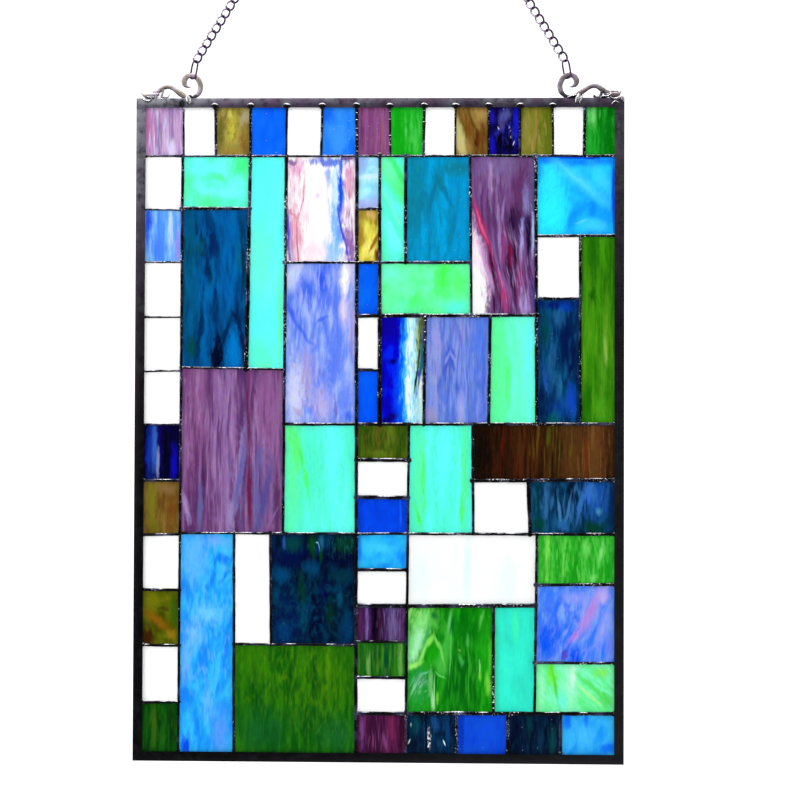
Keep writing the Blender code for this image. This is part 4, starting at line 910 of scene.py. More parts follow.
        strands((84, 22, 6), 360, 332, 28, 34, 1.5, 40, 0.55),
        strands((96, 84, 18), 392, 322, 22, 30, 1.4, 40, 0.56, 0.7),
        strands((14, 7, 3), 360, 332, 44, 34, 1.6, 40, 0.54),
        strands((120, 84, 40), 428, 330, 18, 34, 1.5, 40, 0.55, 0.6),
        ((70, 76, 12), 387, 314, 1.6, 10, 3, 1.4), ((100, 40, 12), 422, 338, 1.4, 24, 0, 1.2)],
        sway=(2, 6)),
    "white_square": WHITE,
    "teal_right": look((0, 36, 64), (4, 56, 92), (14, 78, 124), 3.2, 5, 0, [
        ((0, 56, 62), 376, 380, 3, 24, 0, 1.5), ((44, 100, 154), 385, 372, 2.2, 24, 4, 1.4),
        ((20, 76, 164), 432, 372, 12, 16), ((46, 108, 206), 424, 368, 4, 9, 0, 1.5),
        ((0, 20, 48), 408, 370, 4.4, 13, 0, 1.4), ((0, 28, 56), 392, 366, 2.2, 12, 0, 1.3),
        strands((50, 108, 170), 408, 376, 36, 22, 2, 20, 0.54, 0.7),
        strands((0, 26, 52), 410, 376, 36, 22, 2, 22, 0.53, 0.7),
        ((60, 118, 166), 397, 388, 1.3, 16, -8, 1.1, 1.4),
        ((54, 110, 162), 404, 388, 1.2, 16, 14, 1.1, 1.4), ((34, 98, 160), 400, 400, 5, 5, 0, 1.4),
        ((44, 104, 180), 416, 380, 1.8, 17, 12, 1.3), ((0, 58, 40), 430, 400, 9, 5, 0, 1.5),
        ((60, 130, 176), 434, 384, 2.4, 3, 0, 1.3), ((0, 62, 54), 378, 400, 5, 5, 0, 1.4),
        ((4, 40, 88), 445, 380, 2.4, 22, 0, 1.4)], sway=(3, 7)),
    "sky_small": look((26, 160, 250), (38, 180, 251), (50, 194, 252), 9, 1.2, 20, [
        ((14, 132, 250), 210, 422, 3, 14), ((18, 136, 248), 251, 430, 4, 8),
        ((60, 204, 252), 230, 420, 10, 4, 10, 1.7), ((22, 150, 250), 236, 437, 7, 3, 0, 1.5)],
        sway=(3, 4), thread=0.06),
    "white_mid_2": WHITE,
    "plum_dark": look((34, 10, 50), (54, 24, 76), (76, 44, 104), 2.4, 14, 0, [
        ((84, 36, 84), 212, 490, 3, 24, 0, 1.4), ((122, 92, 166), 218.5, 490, 1.2, 24, 0, 1.2),
        ((4, 0, 16), 226.5, 488, 3.8, 28, -2, 1.2), ((50, 10, 42), 231, 492, 2.4, 20, 0, 1.3),
        ((104, 86, 142), 243, 490, 4, 28), ((88, 54, 106), 251, 490, 2.4, 26, 0, 1.3),
        strands((126, 104, 158), 242, 490, 12, 20, 1.1, 26, 0.54, 0.7),
        strands((44, 14, 50), 232, 490, 22, 20, 1.1, 26, 0.54, 0.7)], sway=(2, 5)),
    "green_small": look((10, 82, 14), (24, 106, 14), (44, 126, 24), 2.4, 12, 0, [
        ((106, 162, 80), 220, 532, 1.6, 10, 0, 1.4), ((2, 72, 40), 237, 526, 2.2, 22, 0, 1.3),
        ((100, 164, 72), 250, 526, 2.2, 22, 0, 1.4), ((24, 92, 24), 213, 522, 2.4, 15, 0, 1.4),
        strands((90, 142, 46), 228, 524, 20, 18, 1.8, 24, 0.53, 0.5),
        strands((8, 74, 40), 236, 524, 18, 18, 1.8, 24, 0.54, 0.5)], sway=(2, 5)),
    "white_mid_3": WHITE,
    "plum_low": look((54, 10, 46), (74, 20, 62), (90, 34, 78), 2.2, 14, 0, [
        ((104, 60, 120), 214, 588, 2, 18, 0, 1.5), ((60, 14, 50), 226, 592, 2.6, 22, 0, 1.4),
        ((124, 60, 116), 236, 602, 1.6, 8, -16, 1.3), ((52, 10, 40), 251, 592, 2.4, 22, 0, 1.4),
        ((112, 30, 76), 242, 588, 3, 16, 0, 1.5),
        strands((126, 66, 122), 226, 590, 16, 18, 1.2, 24, 0.55, 0.7),
        strands((52, 8, 44), 232, 590, 22, 18, 1.2, 24, 0.54, 0.7)], sway=(2, 5)),
    "blue_big": look((20, 148, 252), (34, 168, 252), (52, 190, 253), 5, 3, 10, [
        ((92, 184, 253), 56, 430, 10, 22, 0, 1.8), ((14, 130, 250), 82, 432, 7, 3.4, -14, 1.4),
        ((18, 134, 250), 74, 450, 3, 12, 22, 1.5), ((20, 134, 250), 86, 447, 2, 6, 30, 1.4),
        ((24, 136, 250), 48, 460, 5, 8), ((108, 204, 253), 70, 484, 12, 9, 0, 1.8),
        ((112, 192, 253), 56, 502, 7, 12, 0, 1.8), ((20, 134, 250), 87, 512, 3, 18),
        ((18, 136, 250), 66, 528, 5, 16, 10), ((110, 178, 253), 50, 530, 4, 18, 0, 1.8),
        ((20, 134, 250), 50, 560, 4, 12), ((96, 188, 253), 70, 566, 5, 14, 0, 1.8),
        ((20, 134, 250), 60, 588, 3, 12, -12, 1.5), ((4, 76, 248), 49, 605, 4, 9, 0, 1.4),
        ((84, 156, 253), 82, 590, 7, 18, 0, 1.8), ((104, 172, 253), 78, 416, 10, 5, 0, 1.7),
        strands((22, 136, 250), 68, 540, 26, 90, 2.6, 16, 0.53, 0.6),
        strands((104, 190, 253), 68, 480, 26, 90, 2.8, 18, 0.54, 0.6)], sway=(5, 8), thread=0.06),
    "white_tall": WHITE,
    "navy": look((0, 8, 36), (0, 24, 54), (0, 42, 80), 5, 2.2, 0, [
        ((0, 28, 78), 146, 486, 14, 22, 0, 1.8), ((0, 26, 44), 190, 486, 12, 18, 0, 1.8),
        ((0, 4, 46), 176, 430, 34, 7, 0, 1.7), ((0, 12, 66), 146, 430, 12, 9, 0, 1.7),
        ((0, 54, 34), 198, 417, 8, 7), ((0, 62, 64), 150, 416, 6, 6),
        ((0, 66, 112), 138, 446, 8, 6, 0, 1.5), ((0, 62, 104), 166, 440, 6, 6, 0, 1.5),
        ((0, 46, 62), 194, 446, 9, 6, 0, 1.5), ((0, 52, 34), 158, 462, 4, 14),
        ((0, 64, 100), 134, 466, 3, 8), ((0, 4, 62), 180, 466, 5, 14), ((0, 66, 92), 160, 484, 4, 12),
        ((0, 74, 104), 192, 466, 2, 8, 0, 1.5), ((0, 4, 44), 172, 490, 5, 14),
        ((0, 50, 96), 200, 494, 5, 12), ((0, 54, 110), 140, 500, 6, 9), ((0, 44, 28), 184, 480, 4, 10),
        ((0, 68, 10), 167, 418, 3, 9), ((0, 64, 8), 174.5, 427, 1.8, 7, 0, 1.5),
        ((4, 30, 110), 171, 422, 1.6, 5, 0, 1.3), ((34, 80, 150), 142, 415, 1.6, 6, 0, 1.4),
        ((24, 96, 130), 176, 415, 1.4, 7, 0, 1.4),
        strands((0, 70, 100), 168, 478, 40, 36, 3.4, 10, 0.5, 0.5),
        strands((0, 6, 42), 168, 478, 40, 36, 3, 10, 0.5, 0.5),
        strands((20, 96, 100), 190, 418, 18, 10, 1.6, 10, 0.52, 0.6),
        # A painted glint: a small pale arc of light on the glass.
        ((130, 190, 220), 171.4, 416.4, 1.4, 0.6, 20, 1.1, 1.6),
        ((110, 180, 200), 173.2, 420, 0.45, 4, -6, 1.1, 1.4)], 0.1, sway=(4, 5)),
    "green_big": look((6, 84, 6), (22, 100, 8), (40, 116, 8), 3.6, 6, 2, [
        ((48, 122, 4), 112, 528, 14, 18, 0, 1.8), ((52, 120, 4), 178, 540, 18, 28, 0, 1.8),
        ((4, 78, 8), 170, 545, 2.4, 34, 0, 1.5), ((4, 78, 10), 114, 556, 3, 26),
        ((14, 94, 34), 120, 590, 16, 16, 0, 1.8), ((18, 96, 34), 190, 594, 12, 14, 0, 1.8),
        strands((78, 134, 4), 160, 540, 44, 36, 2, 14, 0.52, 0.7),
        strands((62, 128, 4), 120, 540, 30, 36, 2, 12, 0.53, 0.6),
        strands((4, 74, 10), 150, 560, 56, 52, 2.2, 18, 0.52, 0.7),
        strands((56, 124, 40), 176, 590, 30, 20, 1.8, 12, 0.54, 0.5),
        ((74, 132, 6), 182, 530, 1.8, 18, 4, 1.5), ((10, 84, 32), 134, 596, 2, 13, 0, 1.5)], sway=(3, 6)),
    "opal": look((248, 254, 255), (253, 255, 255), (255, 255, 255), 24, 2, 0, [
        ((228, 250, 253), 311, 438, 3, 24, 0, 1.8), ((240, 253, 254), 268, 448, 10, 22, 0, 1.8),
        ((240, 253, 254), 350, 450, 8, 18, 0, 1.8)], thread=0.0),
    "green_wisp": look((2, 108, 6), (12, 138, 10), (30, 160, 22), 4, 4, 0, [
        ((0, 98, 14), 305, 545, 12, 26, 0, 1.8), ((2, 112, 10), 316, 500, 14, 14, 0, 1.8),
        ((24, 164, 18), 328, 530, 6, 30, 0, 1.7), ((36, 158, 60), 266, 552, 10, 18, 0, 1.8),
        strands((46, 168, 34), 312, 540, 24, 34, 2.2, 26, 0.52, 0.7),
        strands((0, 92, 8), 308, 545, 26, 34, 2, 30, 0.52, 0.7),
        ((60, 176, 56), 293, 512, 4.4, 24, 6, 1.3, 1.2), ((66, 182, 62), 286, 526, 6, 10, -10, 1.4, 1.2),
        ((18, 158, 10), 280, 517, 6, 11, 8, 1.4, 1), ((96, 206, 78), 270, 488, 12, 12, 20, 1.6, 1.6),
        ((124, 222, 130), 264, 508, 7, 22, 16, 1.3, 1.2),
        ((160, 236, 180), 265, 510, 3.2, 17, 14, 1.2, 1.4), ((0, 112, 50), 280.5, 485, 3, 3.4, 0, 1.5),
        ((0, 104, 44), 299, 493, 1.8, 7, 6, 1.3), ((8, 126, 30), 289, 504, 2, 4, 0, 1.5),
        ((70, 168, 96), 274, 502, 1.3, 14, 14, 1.1, 1),
        strands((140, 228, 110), 266, 486, 12, 14, 1.4, 10, 0.52, 0.7, 16),
        ((150, 236, 110), 262.4, 530.6, 2.4, 7.5, 64, 1.3, 1),
        ((120, 220, 96), 270.4, 520, 2, 10, 22, 1.4, 1), ((140, 228, 92), 270.8, 519, 0.8, 9, 22, 1, 0.8),
        ((124, 220, 84), 276.6, 507, 2.2, 7, 30, 1.4, 1),
        ((112, 212, 84), 283.4, 508, 1.6, 7, -30, 1.4, 1),
        ((110, 208, 90), 288.4, 519, 1, 9, -14, 1.2, 0.9),
        ((92, 196, 150), 272, 539, 1.1, 5.4, 68, 1.1, 1),
        ((84, 198, 90), 287, 539, 0.8, 5, -70, 0.9, 0.8), ((66, 152, 104), 268, 546, 5, 7, 34, 1.6, 1.6),
        ((110, 190, 130), 263, 552, 1.2, 9, 28, 1.3, 1.2),
        strands((136, 214, 160), 266, 552, 10, 12, 1.2, 9, 0.53, 0.6, 28),
        ((110, 200, 110), 278, 548, 2.2, 11, 0, 1.4, 1.2, 0.8),
        ((152, 228, 150), 280, 565, 1.8, 8, 0, 1.5, 1.2),
        ((170, 236, 170), 281.6, 556, 0.5, 14, 0, 1, 1, 0.7), ((96, 200, 60), 284.6, 560, 1.2, 6, 0, 1.4),
        ((120, 214, 120), 322.3, 532, 0.7, 7, 0, 1.2, 1.2),
        ((120, 206, 50), 323, 538, 1.2, 3, 0, 1.7, 2, 0.7),
        ((86, 196, 76), 325.4, 487, 1.2, 9, 12, 1.5, 1.2, 0.8),
        ((110, 212, 60), 331.6, 546, 2.4, 9, -8, 1.6, 1.2),
        ((60, 180, 50), 313, 540, 0.5, 34, 0, 1, 0.6, 0.6),
        ((70, 186, 80), 306, 524, 1.6, 5, -16, 1.5, 1.2, 0.7),
        ((70, 186, 80), 313, 506, 1.4, 6, 0, 1.5, 1.4, 0.6),
        ((110, 200, 96), 305.6, 516, 1.4, 1.2, 0, 1.7, 2, 0.6),
        ((66, 172, 90), 307.6, 528, 1, 3, 20, 1.6, 2, 0.6),
        ((86, 196, 90), 297, 518, 0.7, 18, 3, 1.2, 1, 0.7), ((70, 196, 40), 333, 520, 1.8, 18, 0, 1.4),
        ((86, 190, 92), 296, 489, 1.4, 12, 6, 1.2, 1), ((150, 226, 120), 259, 481, 1.2, 6, 16, 1.2),
        ((140, 220, 120), 268, 482, 1.2, 6, 14, 1.2)], sway=(3, 6), bend=0.3),
    "jade_tall": look((46, 226, 198), (48, 238, 208), (52, 244, 216), 12, 3, 0, [
        ((54, 220, 172), 339, 540, 2.4, 60, 0, 1.8), ((62, 246, 184), 356, 490, 3, 14, 0, 1.8)],
        thread=0.05),
    "green_right": look((30, 160, 28), (48, 176, 46), (72, 194, 64), 2.4, 5, 0, [
        ((120, 222, 80), 386, 424, 1.8, 24, 0, 1.5), ((104, 214, 80), 402, 432, 1.3, 20, 3, 1.5),
        ((20, 152, 20), 412, 440, 3, 15, 0, 1.5), ((26, 158, 24), 396, 446, 2.4, 11, 0, 1.4),
        strands((104, 214, 84), 412, 430, 36, 24, 1.7, 14, 0.54, 0.6),
        strands((16, 146, 18), 412, 430, 36, 24, 1.8, 16, 0.54, 0.7),
        ((100, 210, 88), 421, 420, 4, 7, 0, 1.5), ((120, 220, 110), 436, 424, 1.6, 10, 10, 1.4),
        ((22, 158, 26), 443, 440, 3, 13, 0, 1.5), ((110, 218, 100), 429, 445, 2.4, 4, 40, 1.3)]),
    "blue_streak": look((48, 120, 250), (82, 140, 251), (120, 162, 252), 4.6, 3.4, 12, [
        ((8, 88, 248), 386, 506, 10, 16), ((20, 100, 248), 396, 474, 2, 14, 22, 1.7, 1.4, 0.7),
        ((20, 100, 248), 403, 474, 2, 12, -24, 1.7, 1.4, 0.7), ((60, 118, 248), 390, 476, 5, 13, 0, 1.5),
        ((6, 84, 248), 412, 519, 8, 8, 20, 1.4), ((140, 156, 251), 412, 465, 10, 5),
        ((10, 92, 248), 396, 498, 3, 12, -8, 1.7, 2, 0.7),
        ((160, 140, 234), 428, 476, 6, 24, 30, 1.7, 1.2),
        ((186, 134, 224), 424, 480, 2.6, 22, 30, 1.6, 1.4, 0.8),
        ((206, 138, 214), 411, 502, 2, 9, 34, 1.5, 1.4, 0.8),
        ((158, 168, 251), 438, 496, 4, 18, 16, 1.7, 1.2, 0.8), ((182, 170, 246), 438, 463, 4, 7),
        ((80, 60, 196), 403, 521, 2.4, 4, 0, 1.4),
        strands((20, 98, 248), 398, 494, 24, 36, 2.4, 14, 0.54, 0.6, 14),
        strands((150, 166, 252), 420, 490, 28, 36, 2.4, 14, 0.55, 0.5, 16),
        ((104, 132, 251), 445, 512, 3, 11, 0, 1.5)], sway=(4, 6)),
    "mint_right": look((96, 244, 144), (110, 250, 166), (124, 252, 192), 5, 2.4, -40, [
        ((160, 250, 204), 408, 546, 6, 18, 0, 2), ((206, 254, 234), 410, 538, 2.4, 8, 0, 1.5),
        ((112, 240, 70), 391, 538, 4, 11, -8, 1.4),
        ((60, 206, 50), 394, 550, 1.2, 18, -10, 1.5, 1.2, 0.7),
        ((150, 250, 190), 381, 548, 3, 18, 0, 1.7), ((90, 232, 110), 429, 550, 2.4, 20, -48, 1.3, 1.2),
        ((84, 222, 96), 441, 561, 4, 7, -40, 1.4), ((160, 250, 160), 425, 556, 1.6, 16, -46, 1.3, 1.2),
        ((130, 242, 100), 437, 536, 7, 4), ((110, 250, 216), 400, 561, 4, 8),
        strands((90, 232, 110), 432, 550, 16, 20, 1.6, 16, 0.55, 0.6, -46)], sway=(2, 4), thread=0.06),
    "teal_low_1": look((0, 14, 36), (0, 26, 52), (2, 40, 74), 3.4, 4, 0, [
        ((18, 70, 130), 282, 583, 3, 7, 0, 1.4), ((6, 56, 110), 294, 594, 2.4, 13, 0, 1.4),
        ((0, 58, 66), 264, 584, 4, 8, 0, 1.5), ((0, 16, 36), 262, 603, 4, 5, 0, 1.4),
        strands((10, 66, 110), 279, 590, 22, 18, 1.6, 16, 0.54, 0.7),
        # The thin white curls that follow are painted reflections on the rippled glass.
        strands((240, 244, 244), 276.6, 596, 1.5, 9, 0.9, 3, 0.5, 1, 14),
        ((236, 240, 240), 276, 603, 0.5, 2.2, 20, 0.9, 1.6),
        ((232, 238, 238), 290.2, 602, 0.5, 2.6, -24, 0.8, 1.4),
        ((206, 216, 222), 258.2, 601, 0.5, 2.6, 20, 0.9, 1.6),
        ((150, 170, 180), 259.6, 585, 0.5, 1.6, 0, 1, 1.6)], sway=(2, 4)),
    "blue_low": look((8, 60, 200), (8, 70, 216), (12, 78, 222), 9, 2, 0, [
        ((5, 54, 186), 306, 592, 3, 20, 0, 1.3)], 0.8),
    "teal_low_2": look((0, 10, 34), (0, 22, 52), (2, 38, 66), 3, 4.6, 0, [
        ((6, 62, 70), 391, 598, 3, 13, 0, 1.4), ((0, 6, 40), 358, 592, 4, 15, 0, 1.4),
        ((0, 50, 60), 370, 584, 2.4, 8, 0, 1.5), ((8, 42, 74), 380, 600, 2.4, 7, 0, 1.4),
        strands((4, 52, 78), 374, 592, 22, 18, 1.6, 16, 0.54, 0.6),
        strands((0, 4, 24), 374, 592, 22, 18, 1.6, 18, 0.53, 0.6)], 0.3, sway=(2, 4)),
    "sky_low": look((26, 152, 250), (42, 170, 251), (54, 184, 252), 8, 1.6, 10, [
        ((14, 118, 250), 404, 580, 4, 7), ((14, 114, 250), 443, 605, 7, 4, 0, 1.5),
        ((66, 188, 252), 420, 594, 7, 9, 0, 1.8), ((20, 128, 250), 422, 578, 1.6, 7, 0, 1.4)],
        sway=(3, 4), thread=0.06),
}


def tinted(rgb):
    """A colour seen with light behind it, as the glass's own colour."""
    return tuple(c * GLASS_TINT for c in linear(rgb)[:3]) + (1.0,)


def add_wisp(graph, colour, rag, point, wisp):
    """Lays one soft ragged patch of colour over what is there."""
    rgb, across, down, half_w, half_h = wisp[:5]
    lean, soft, ragged, strength = wisp[5:] + WISP_USUAL[len(wisp) - 5:]
    off = graph.reach(point, across, down, half_w, half_h, -lean)
    torn = graph.math("MULTIPLY_ADD", rag, ragged, off)
    edge = 1.0 + ragged * 0.5
    cover = graph.spread(torn, edge + soft / 2.0, edge - soft / 2.0, 0.0, strength, smooth=True)
    return graph.mix(cover, colour, tinted(rgb))


def add_strands(graph, colour, rag, point, lines):
    """Lays thin streaks over a soft patch of what is there."""
    across, down, half_w, half_h = lines["patch"]
    torn = graph.math("MULTIPLY_ADD", rag, 1.2, graph.reach(point, across, down, half_w, half_h))
    patch = graph.spread(torn, 2.0, 1.2, 0.0, lines["strength"], smooth=True)
    shift = (across * 3.0, down, half_w)
    field = graph.mapping(point, "TEXTURE", shift, -lines["lean"], lines["scale"])
    start = lines["start"]
    line = graph.spread(graph.noise(field, 1.5), start - 0.07, start + 0.2, smooth=True)
    return graph.mix(graph.math("MULTIPLY", line, patch), colour, tinted(lines["rgb"]))


def add_seeds(graph, colour, point, strength):
    """Tiny bright bubbles scattered in the sheet."""
    cell = graph.node("ShaderNodeTexVoronoi", Vector=point, Scale=0.22)
    speck = graph.spread(cell.outputs["Distance"], 0.11, 0.06)
    pick = graph.node("ShaderNodeSeparateColor", Color=cell.outputs["Color"]).outputs[0]
    lit = graph.math("MULTIPLY", speck, graph.math("GREATER_THAN", pick, 0.72))
    lit = graph.math("MULTIPLY", lit, strength)
    return graph.mix(lit, colour, tinted((205, 222, 245)))


def glass_colour(graph, here, sheet, seed):
    """The sheet's colour, and the streaks in it for the bump."""
    shift = (seed * 37.0, seed * 11.0, seed * 53.0)
    # The glass was stirred: every streak and wisp sways off its line.
    across, down = sheet["sway"]
    broad = graph.sway(here, shift, (16.0, GRAIN_DEEP, 44.0))
    fine = graph.sway(here, shift, (5.0, GRAIN_DEEP, 18.0))
    point = graph.vector("MULTIPLY_ADD", broad, (across * 1.6, 0.0, down * 1.6), here)
    point = graph.vector("MULTIPLY_ADD", fine, (across * 0.4, 0.0, down * 0.5), point)
    # The sheet's own three colours, in long streaks over broad clouds.
    width = sheet["width"]
    grain = (width, GRAIN_DEEP, width * sheet["stretch"])
    cloud = tuple(size * 2.6 for size in grain)
    streak = graph.mapping(point, "TEXTURE", shift, -sheet["lean"], grain)
    streak = graph.noise(streak, 2.5, 0.5, sheet["bend"])
    cloud = graph.noise(graph.mapping(point, "TEXTURE", shift, -sheet["lean"], cloud), 1.0)
    tone = graph.math("MULTIPLY_ADD", cloud, 0.7, graph.math("MULTIPLY", streak, 0.8))
    if sheet is WHITE:
        return graph.mix(streak, linear((251, 253, 253)), linear((255, 255, 255))), streak
    dark, middle, light = [tinted(stop) for stop in sheet["stops"]]
    colour = graph.ramp(tone, ((0.6, dark), (0.75, middle), (0.9, light)))
    # The wisps and strands, their edges torn by the rag.
    rag = graph.noise(graph.mapping(point, "TEXTURE", shift, 0.0, (2.8, GRAIN_DEEP, 8.0)), 3.0, 0.6)
    for wisp in sheet["wisps"]:
        lay = add_strands if isinstance(wisp, dict) else add_wisp
        colour = lay(graph, colour, rag, point, wisp)
    # Fine threads, a little lighter, darker or off in hue.
    thread = graph.sway(point, shift, (1.8, GRAIN_DEEP, 7.0), 2.0, 0.6, -sheet["lean"])
    depth = sheet["thread"] * 5.0
    thread = graph.vector("MULTIPLY_ADD", thread, (depth, depth, depth), (1.0, 1.0, 1.0))
    colour = graph.vector("MULTIPLY", colour, thread)
    if sheet["seeds"]:
        colour = add_seeds(graph, colour, here, sheet["seeds"])
    return colour, streak


def glass_material(name, sheet, seed):
    """Opalescent glass, lit through from behind."""
    graph, here = start_material(name)
    colour, streak = glass_colour(graph, here, sheet, seed)
    body = graph.node(
        "ShaderNodeBsdfPrincipled", Base_Color=colour, Normal=graph.bump(streak, 0.25, 0.25 * MM),
        Roughness=0.15, IOR=1.5,
    )
    # Light goes through the faces, and is kept from leaving by the rim.
    outside = graph.blend(0.75, body, graph.node("ShaderNodeBsdfTranslucent", Color=colour))
    geometry = graph.node("ShaderNodeNewGeometry")
    facing = graph.parts(geometry.outputs["True Normal"])[1]
    rim = graph.math("LESS_THAN", graph.math("ABSOLUTE", facing), 0.5)
    onward = graph.node("ShaderNodeBsdfTranslucent", Color=WHITE_LIGHT)
    turned = graph.node("ShaderNodeBsdfDiffuse", Color=WHITE_LIGHT)
    inside = graph.blend(rim, onward, turned)
    return graph.surface(graph.blend(geometry.outputs["Backfacing"], outside, inside))


def glass_plate(name, node, corners, sheet, seed):
    """Glass between four (across, down) corners, rippled as rolled glass is."""
    top_left, top_right, bottom_right, bottom_left = [Vector(c) for c in corners]
    wide = (top_right - top_left).length
    high = (bottom_left - top_left).length
    columns = max(4, round(wide / RIPPLE_STEP))
    rows = max(4, round(high / RIPPLE_STEP))
    verts = []
    for side in (-1.0, 1.0):
        for r in range(rows + 1):
            for c in range(columns + 1):
                u = c / columns
                v = r / rows
                upper = top_left.lerp(top_right, u)
                at = upper.lerp(bottom_left.lerp(bottom_right, u), v)
                rim = min(u * wide, (1.0 - u) * wide, v * high, (1.0 - v) * high)
                calm = min(1.0, rim / RIPPLE_FADE)
                swell = wave(at.x / 9.0, side * 7.0 + seed, at.y / 26.0)
                swell += 0.5 * wave(at.x / 4.5, side * 9.0 - seed, at.y / 12.0)
                y = side * (GLASS_HALF + RIPPLE * calm * swell)
                verts.append(place(at.x, y, at.y))
    front = (rows + 1) * (columns + 1)
    faces = []
    for r in range(rows):
        for c in range(columns):
            i = r * (columns + 1) + c
            quad = (i, i + 1, i + columns + 2, i + columns + 1)
            faces.append(quad)
            faces.append(tuple(front + k for k in reversed(quad)))
    around = list(range(columns))
    around += [r * (columns + 1) + columns for r in range(rows)]
    around += [rows * (columns + 1) + c for c in range(columns, 0, -1)]
    around += [r * (columns + 1) for r in range(rows, 0, -1)]
    for i, j in zip(around, around[1:] + around[:1]):
        faces.append((i, j, front + j, front + i))
    plate = add_piece(name, node, (verts, faces), glass_material(name, sheet, seed))
    plate.data.set_sharp_from_angle(angle=SHARP_GLASS)


def pane_corners(node):
    """A CAD pane's corners, (across, down), clockwise from the top left."""
    points = []
    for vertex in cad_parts[node].data.vertices:
        points.append(((vertex.co.x - LEFT) / MM, (TOP - vertex.co.z) / MM))
    return [
        min(points, key=lambda p: p[0] + p[1]),
        max(points, key=lambda p: p[0] - p[1]),
        max(points, key=lambda p: p[0] + p[1]),
        min(points, key=lambda p: p[0] - p[1]),
    ]


def build_panes():
    """One rippled plate for every pane of the main field."""
    for seed, (name, sheet) in enumerate(PANES.items()):
        node = "pane_" + name
        glass_plate("glass_" + name, node, pane_corners(node), sheet, seed + 1)


def build_top_tiles():
    """The fourteen small tiles along the top."""
    low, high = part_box("top_row_tiles")
    left = (low.x - LEFT) / MM
    right = (high.x - LEFT) / MM
    top = (TOP - high.z) / MM
    seams = ["t%d" % n for n in range(1, 14)]
    for n, sheet in enumerate(TOP_TILES):
        corners = []
        for edge, down in ((0, top), (1, top), (1, ROW_DOWN), (0, ROW_DOWN)):
            k = n - 1 + edge
            if k < 0:
                across = left
            elif k >= len(seams):
                across = right
            else:
                across = upright_at(seams[k], down) + JOINT_HALF * (1 - 2 * edge)
            level = down if down == top else level_at("row", across) - JOINT_HALF
            corners.append((across, level))
        glass_plate("tile_top_%d" % (n + 1), "top_row_tiles", corners, sheet, n + 101)


def build_left_tiles():
    """The eleven small tiles down the left side."""
    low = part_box("left_column_tiles")[0]
    left = (low.x - LEFT) / MM
    bottom = (TOP - low.z) / MM
    seams = ["row"] + ["l%d" % n for n in range(1, 11)]
    for n, sheet in enumerate(LEFT_TILES):
        upper = [level_at(seams[n], x) + JOINT_HALF for x in (CAME_FACE, COLUMN_RIGHT)]
        if n + 1 < len(seams):
            lower = [level_at(seams[n + 1], x) - JOINT_HALF for x in (CAME_FACE, COLUMN_RIGHT)]
        else:
            lower = [bottom, bottom]
        corners = [
            (left, upper[0]),
            (upright_at("col", upper[1]) - JOINT_HALF, upper[1]),
            (upright_at("col", lower[1]) - JOINT_HALF, lower[1]),
            (left, lower[0]),
        ]
        glass_plate("tile_left_%d" % (n + 1), "left_column_tiles", corners, sheet, n + 201)


# --- solder ---------------------------------------------------------------

def solder_material():
    """Black patina over solder, bright with wear in flecks that also act as painted glints, and a painted
    highlight along its upper sides.
    """
    graph, here = start_material("solder")
    lumps = graph.grain(here, 1.5, 3.0, 0.6)
    broad = graph.grain(here, 26.0, 2.0)
    across, _, down = graph.parts(here)
    # Flecks of wear, also painted glints, fewer of them at the lower left.
    calm = graph.spread(across, 290.0, 230.0, 0.0, 0.07)
    calm = graph.math("MULTIPLY", calm, graph.spread(down, 240.0, 360.0))
    wear_and_sheen = graph.math("SUBTRACT", graph.math("MULTIPLY_ADD", broad, 0.5, lumps), calm)
    wear_and_sheen = graph.spread(wear_and_sheen, 0.89, 0.95)
    tone = graph.grain(here, 18.0, 2.0, shift=(9, 0, 4))
    tone = graph.tones(tone, (0.4, (8, 8, 12)), (0.52, (20, 20, 30)), (0.64, (64, 67, 90)))
    # Painted highlight: bright upper sides, as lit from above, in some stretches of the seams and not in
    # others.
    upper = graph.math("MULTIPLY_ADD", lumps, 0.9, graph.facing()[2])
    upper = graph.spread(upper, 0.9, 1.15)
    stretch = graph.mapping(here, "TEXTURE", (3, 0, 8), 0.0, (16.0, 30.0, 30.0))
    stretch = graph.math("MULTIPLY_ADD", down, -0.0003, graph.noise(stretch, 2.0, 0.6))
    stretch = graph.spread(stretch, 0.36, 0.46)
    # Bright silver where there is wear and where the painted highlight falls.
    wear_and_highlight = graph.math("MAXIMUM", wear_and_sheen, graph.math("MULTIPLY", upper, stretch))
    colour = graph.lay(wear_and_highlight, tone, (232, 230, 236))
    return graph.metal(colour, lumps, (0.18, 0.42), 0.9, 0.5)


def bead_width(seam):
    """How wide a seam's bead looks at its two ends."""
    return seam[4:] or (BEAD_WIDE, BEAD_WIDE)


def bead(seam, seed):
    """A lumpy bead of solder along a seam, standing on both faces of the glass."""
    start = Vector(seam[:2])
    end = Vector(seam[2:4])
    wide = bead_width(seam)
    length = (end - start).length
    along = (end - start) / length
    side = Vector((-along.y, along.x))
    count = max(3, round(length / BEAD_STEP))
    floor = GLASS_HALF + BEAD_CLEAR
    sections = []
    for i in range(count + 1):
        s = length * i / count
        drift = 0.28 * wave(s / 31.0, seed, 3.1)
        half = BEAD_SHARE * (wide[0] + (wide[1] - wide[0]) * i / count)
        half *= 1.0 + 0.13 * wave(s / 11.0, seed, 5.7) + 0.12 * wave(s / 3.7, seed, 9.4)
        middle = start + along * s + side * drift
        section = []
        for face in (-1.0, 1.0):
            high = BEAD_HIGH if face < 0.0 else BEAD_HIGH_BACK
            high *= 1.0 + 0.1 * wave(s / 9.0, seed, face * 4.0)
            high *= 1.0 + 0.09 * wave(s / 3.1, seed, face * 8.0)
            arc = []
            for k in range(BEAD_ARC):
                turn = math.pi * k / (BEAD_ARC - 1)
                at = middle + side * (half * math.cos(turn))
                arc.append(place(at.x, face * (floor + high * math.sin(turn)), at.y))
            web = middle - side * WEB_HALF
            arc.append(place(web.x, face * floor, web.y))
            web = middle + side * WEB_HALF
            arc.insert(0, place(web.x, face * floor, web.y))
            section.extend(arc if face < 0.0 else reversed(arc))
        sections.append(section)
    return loft(sections)


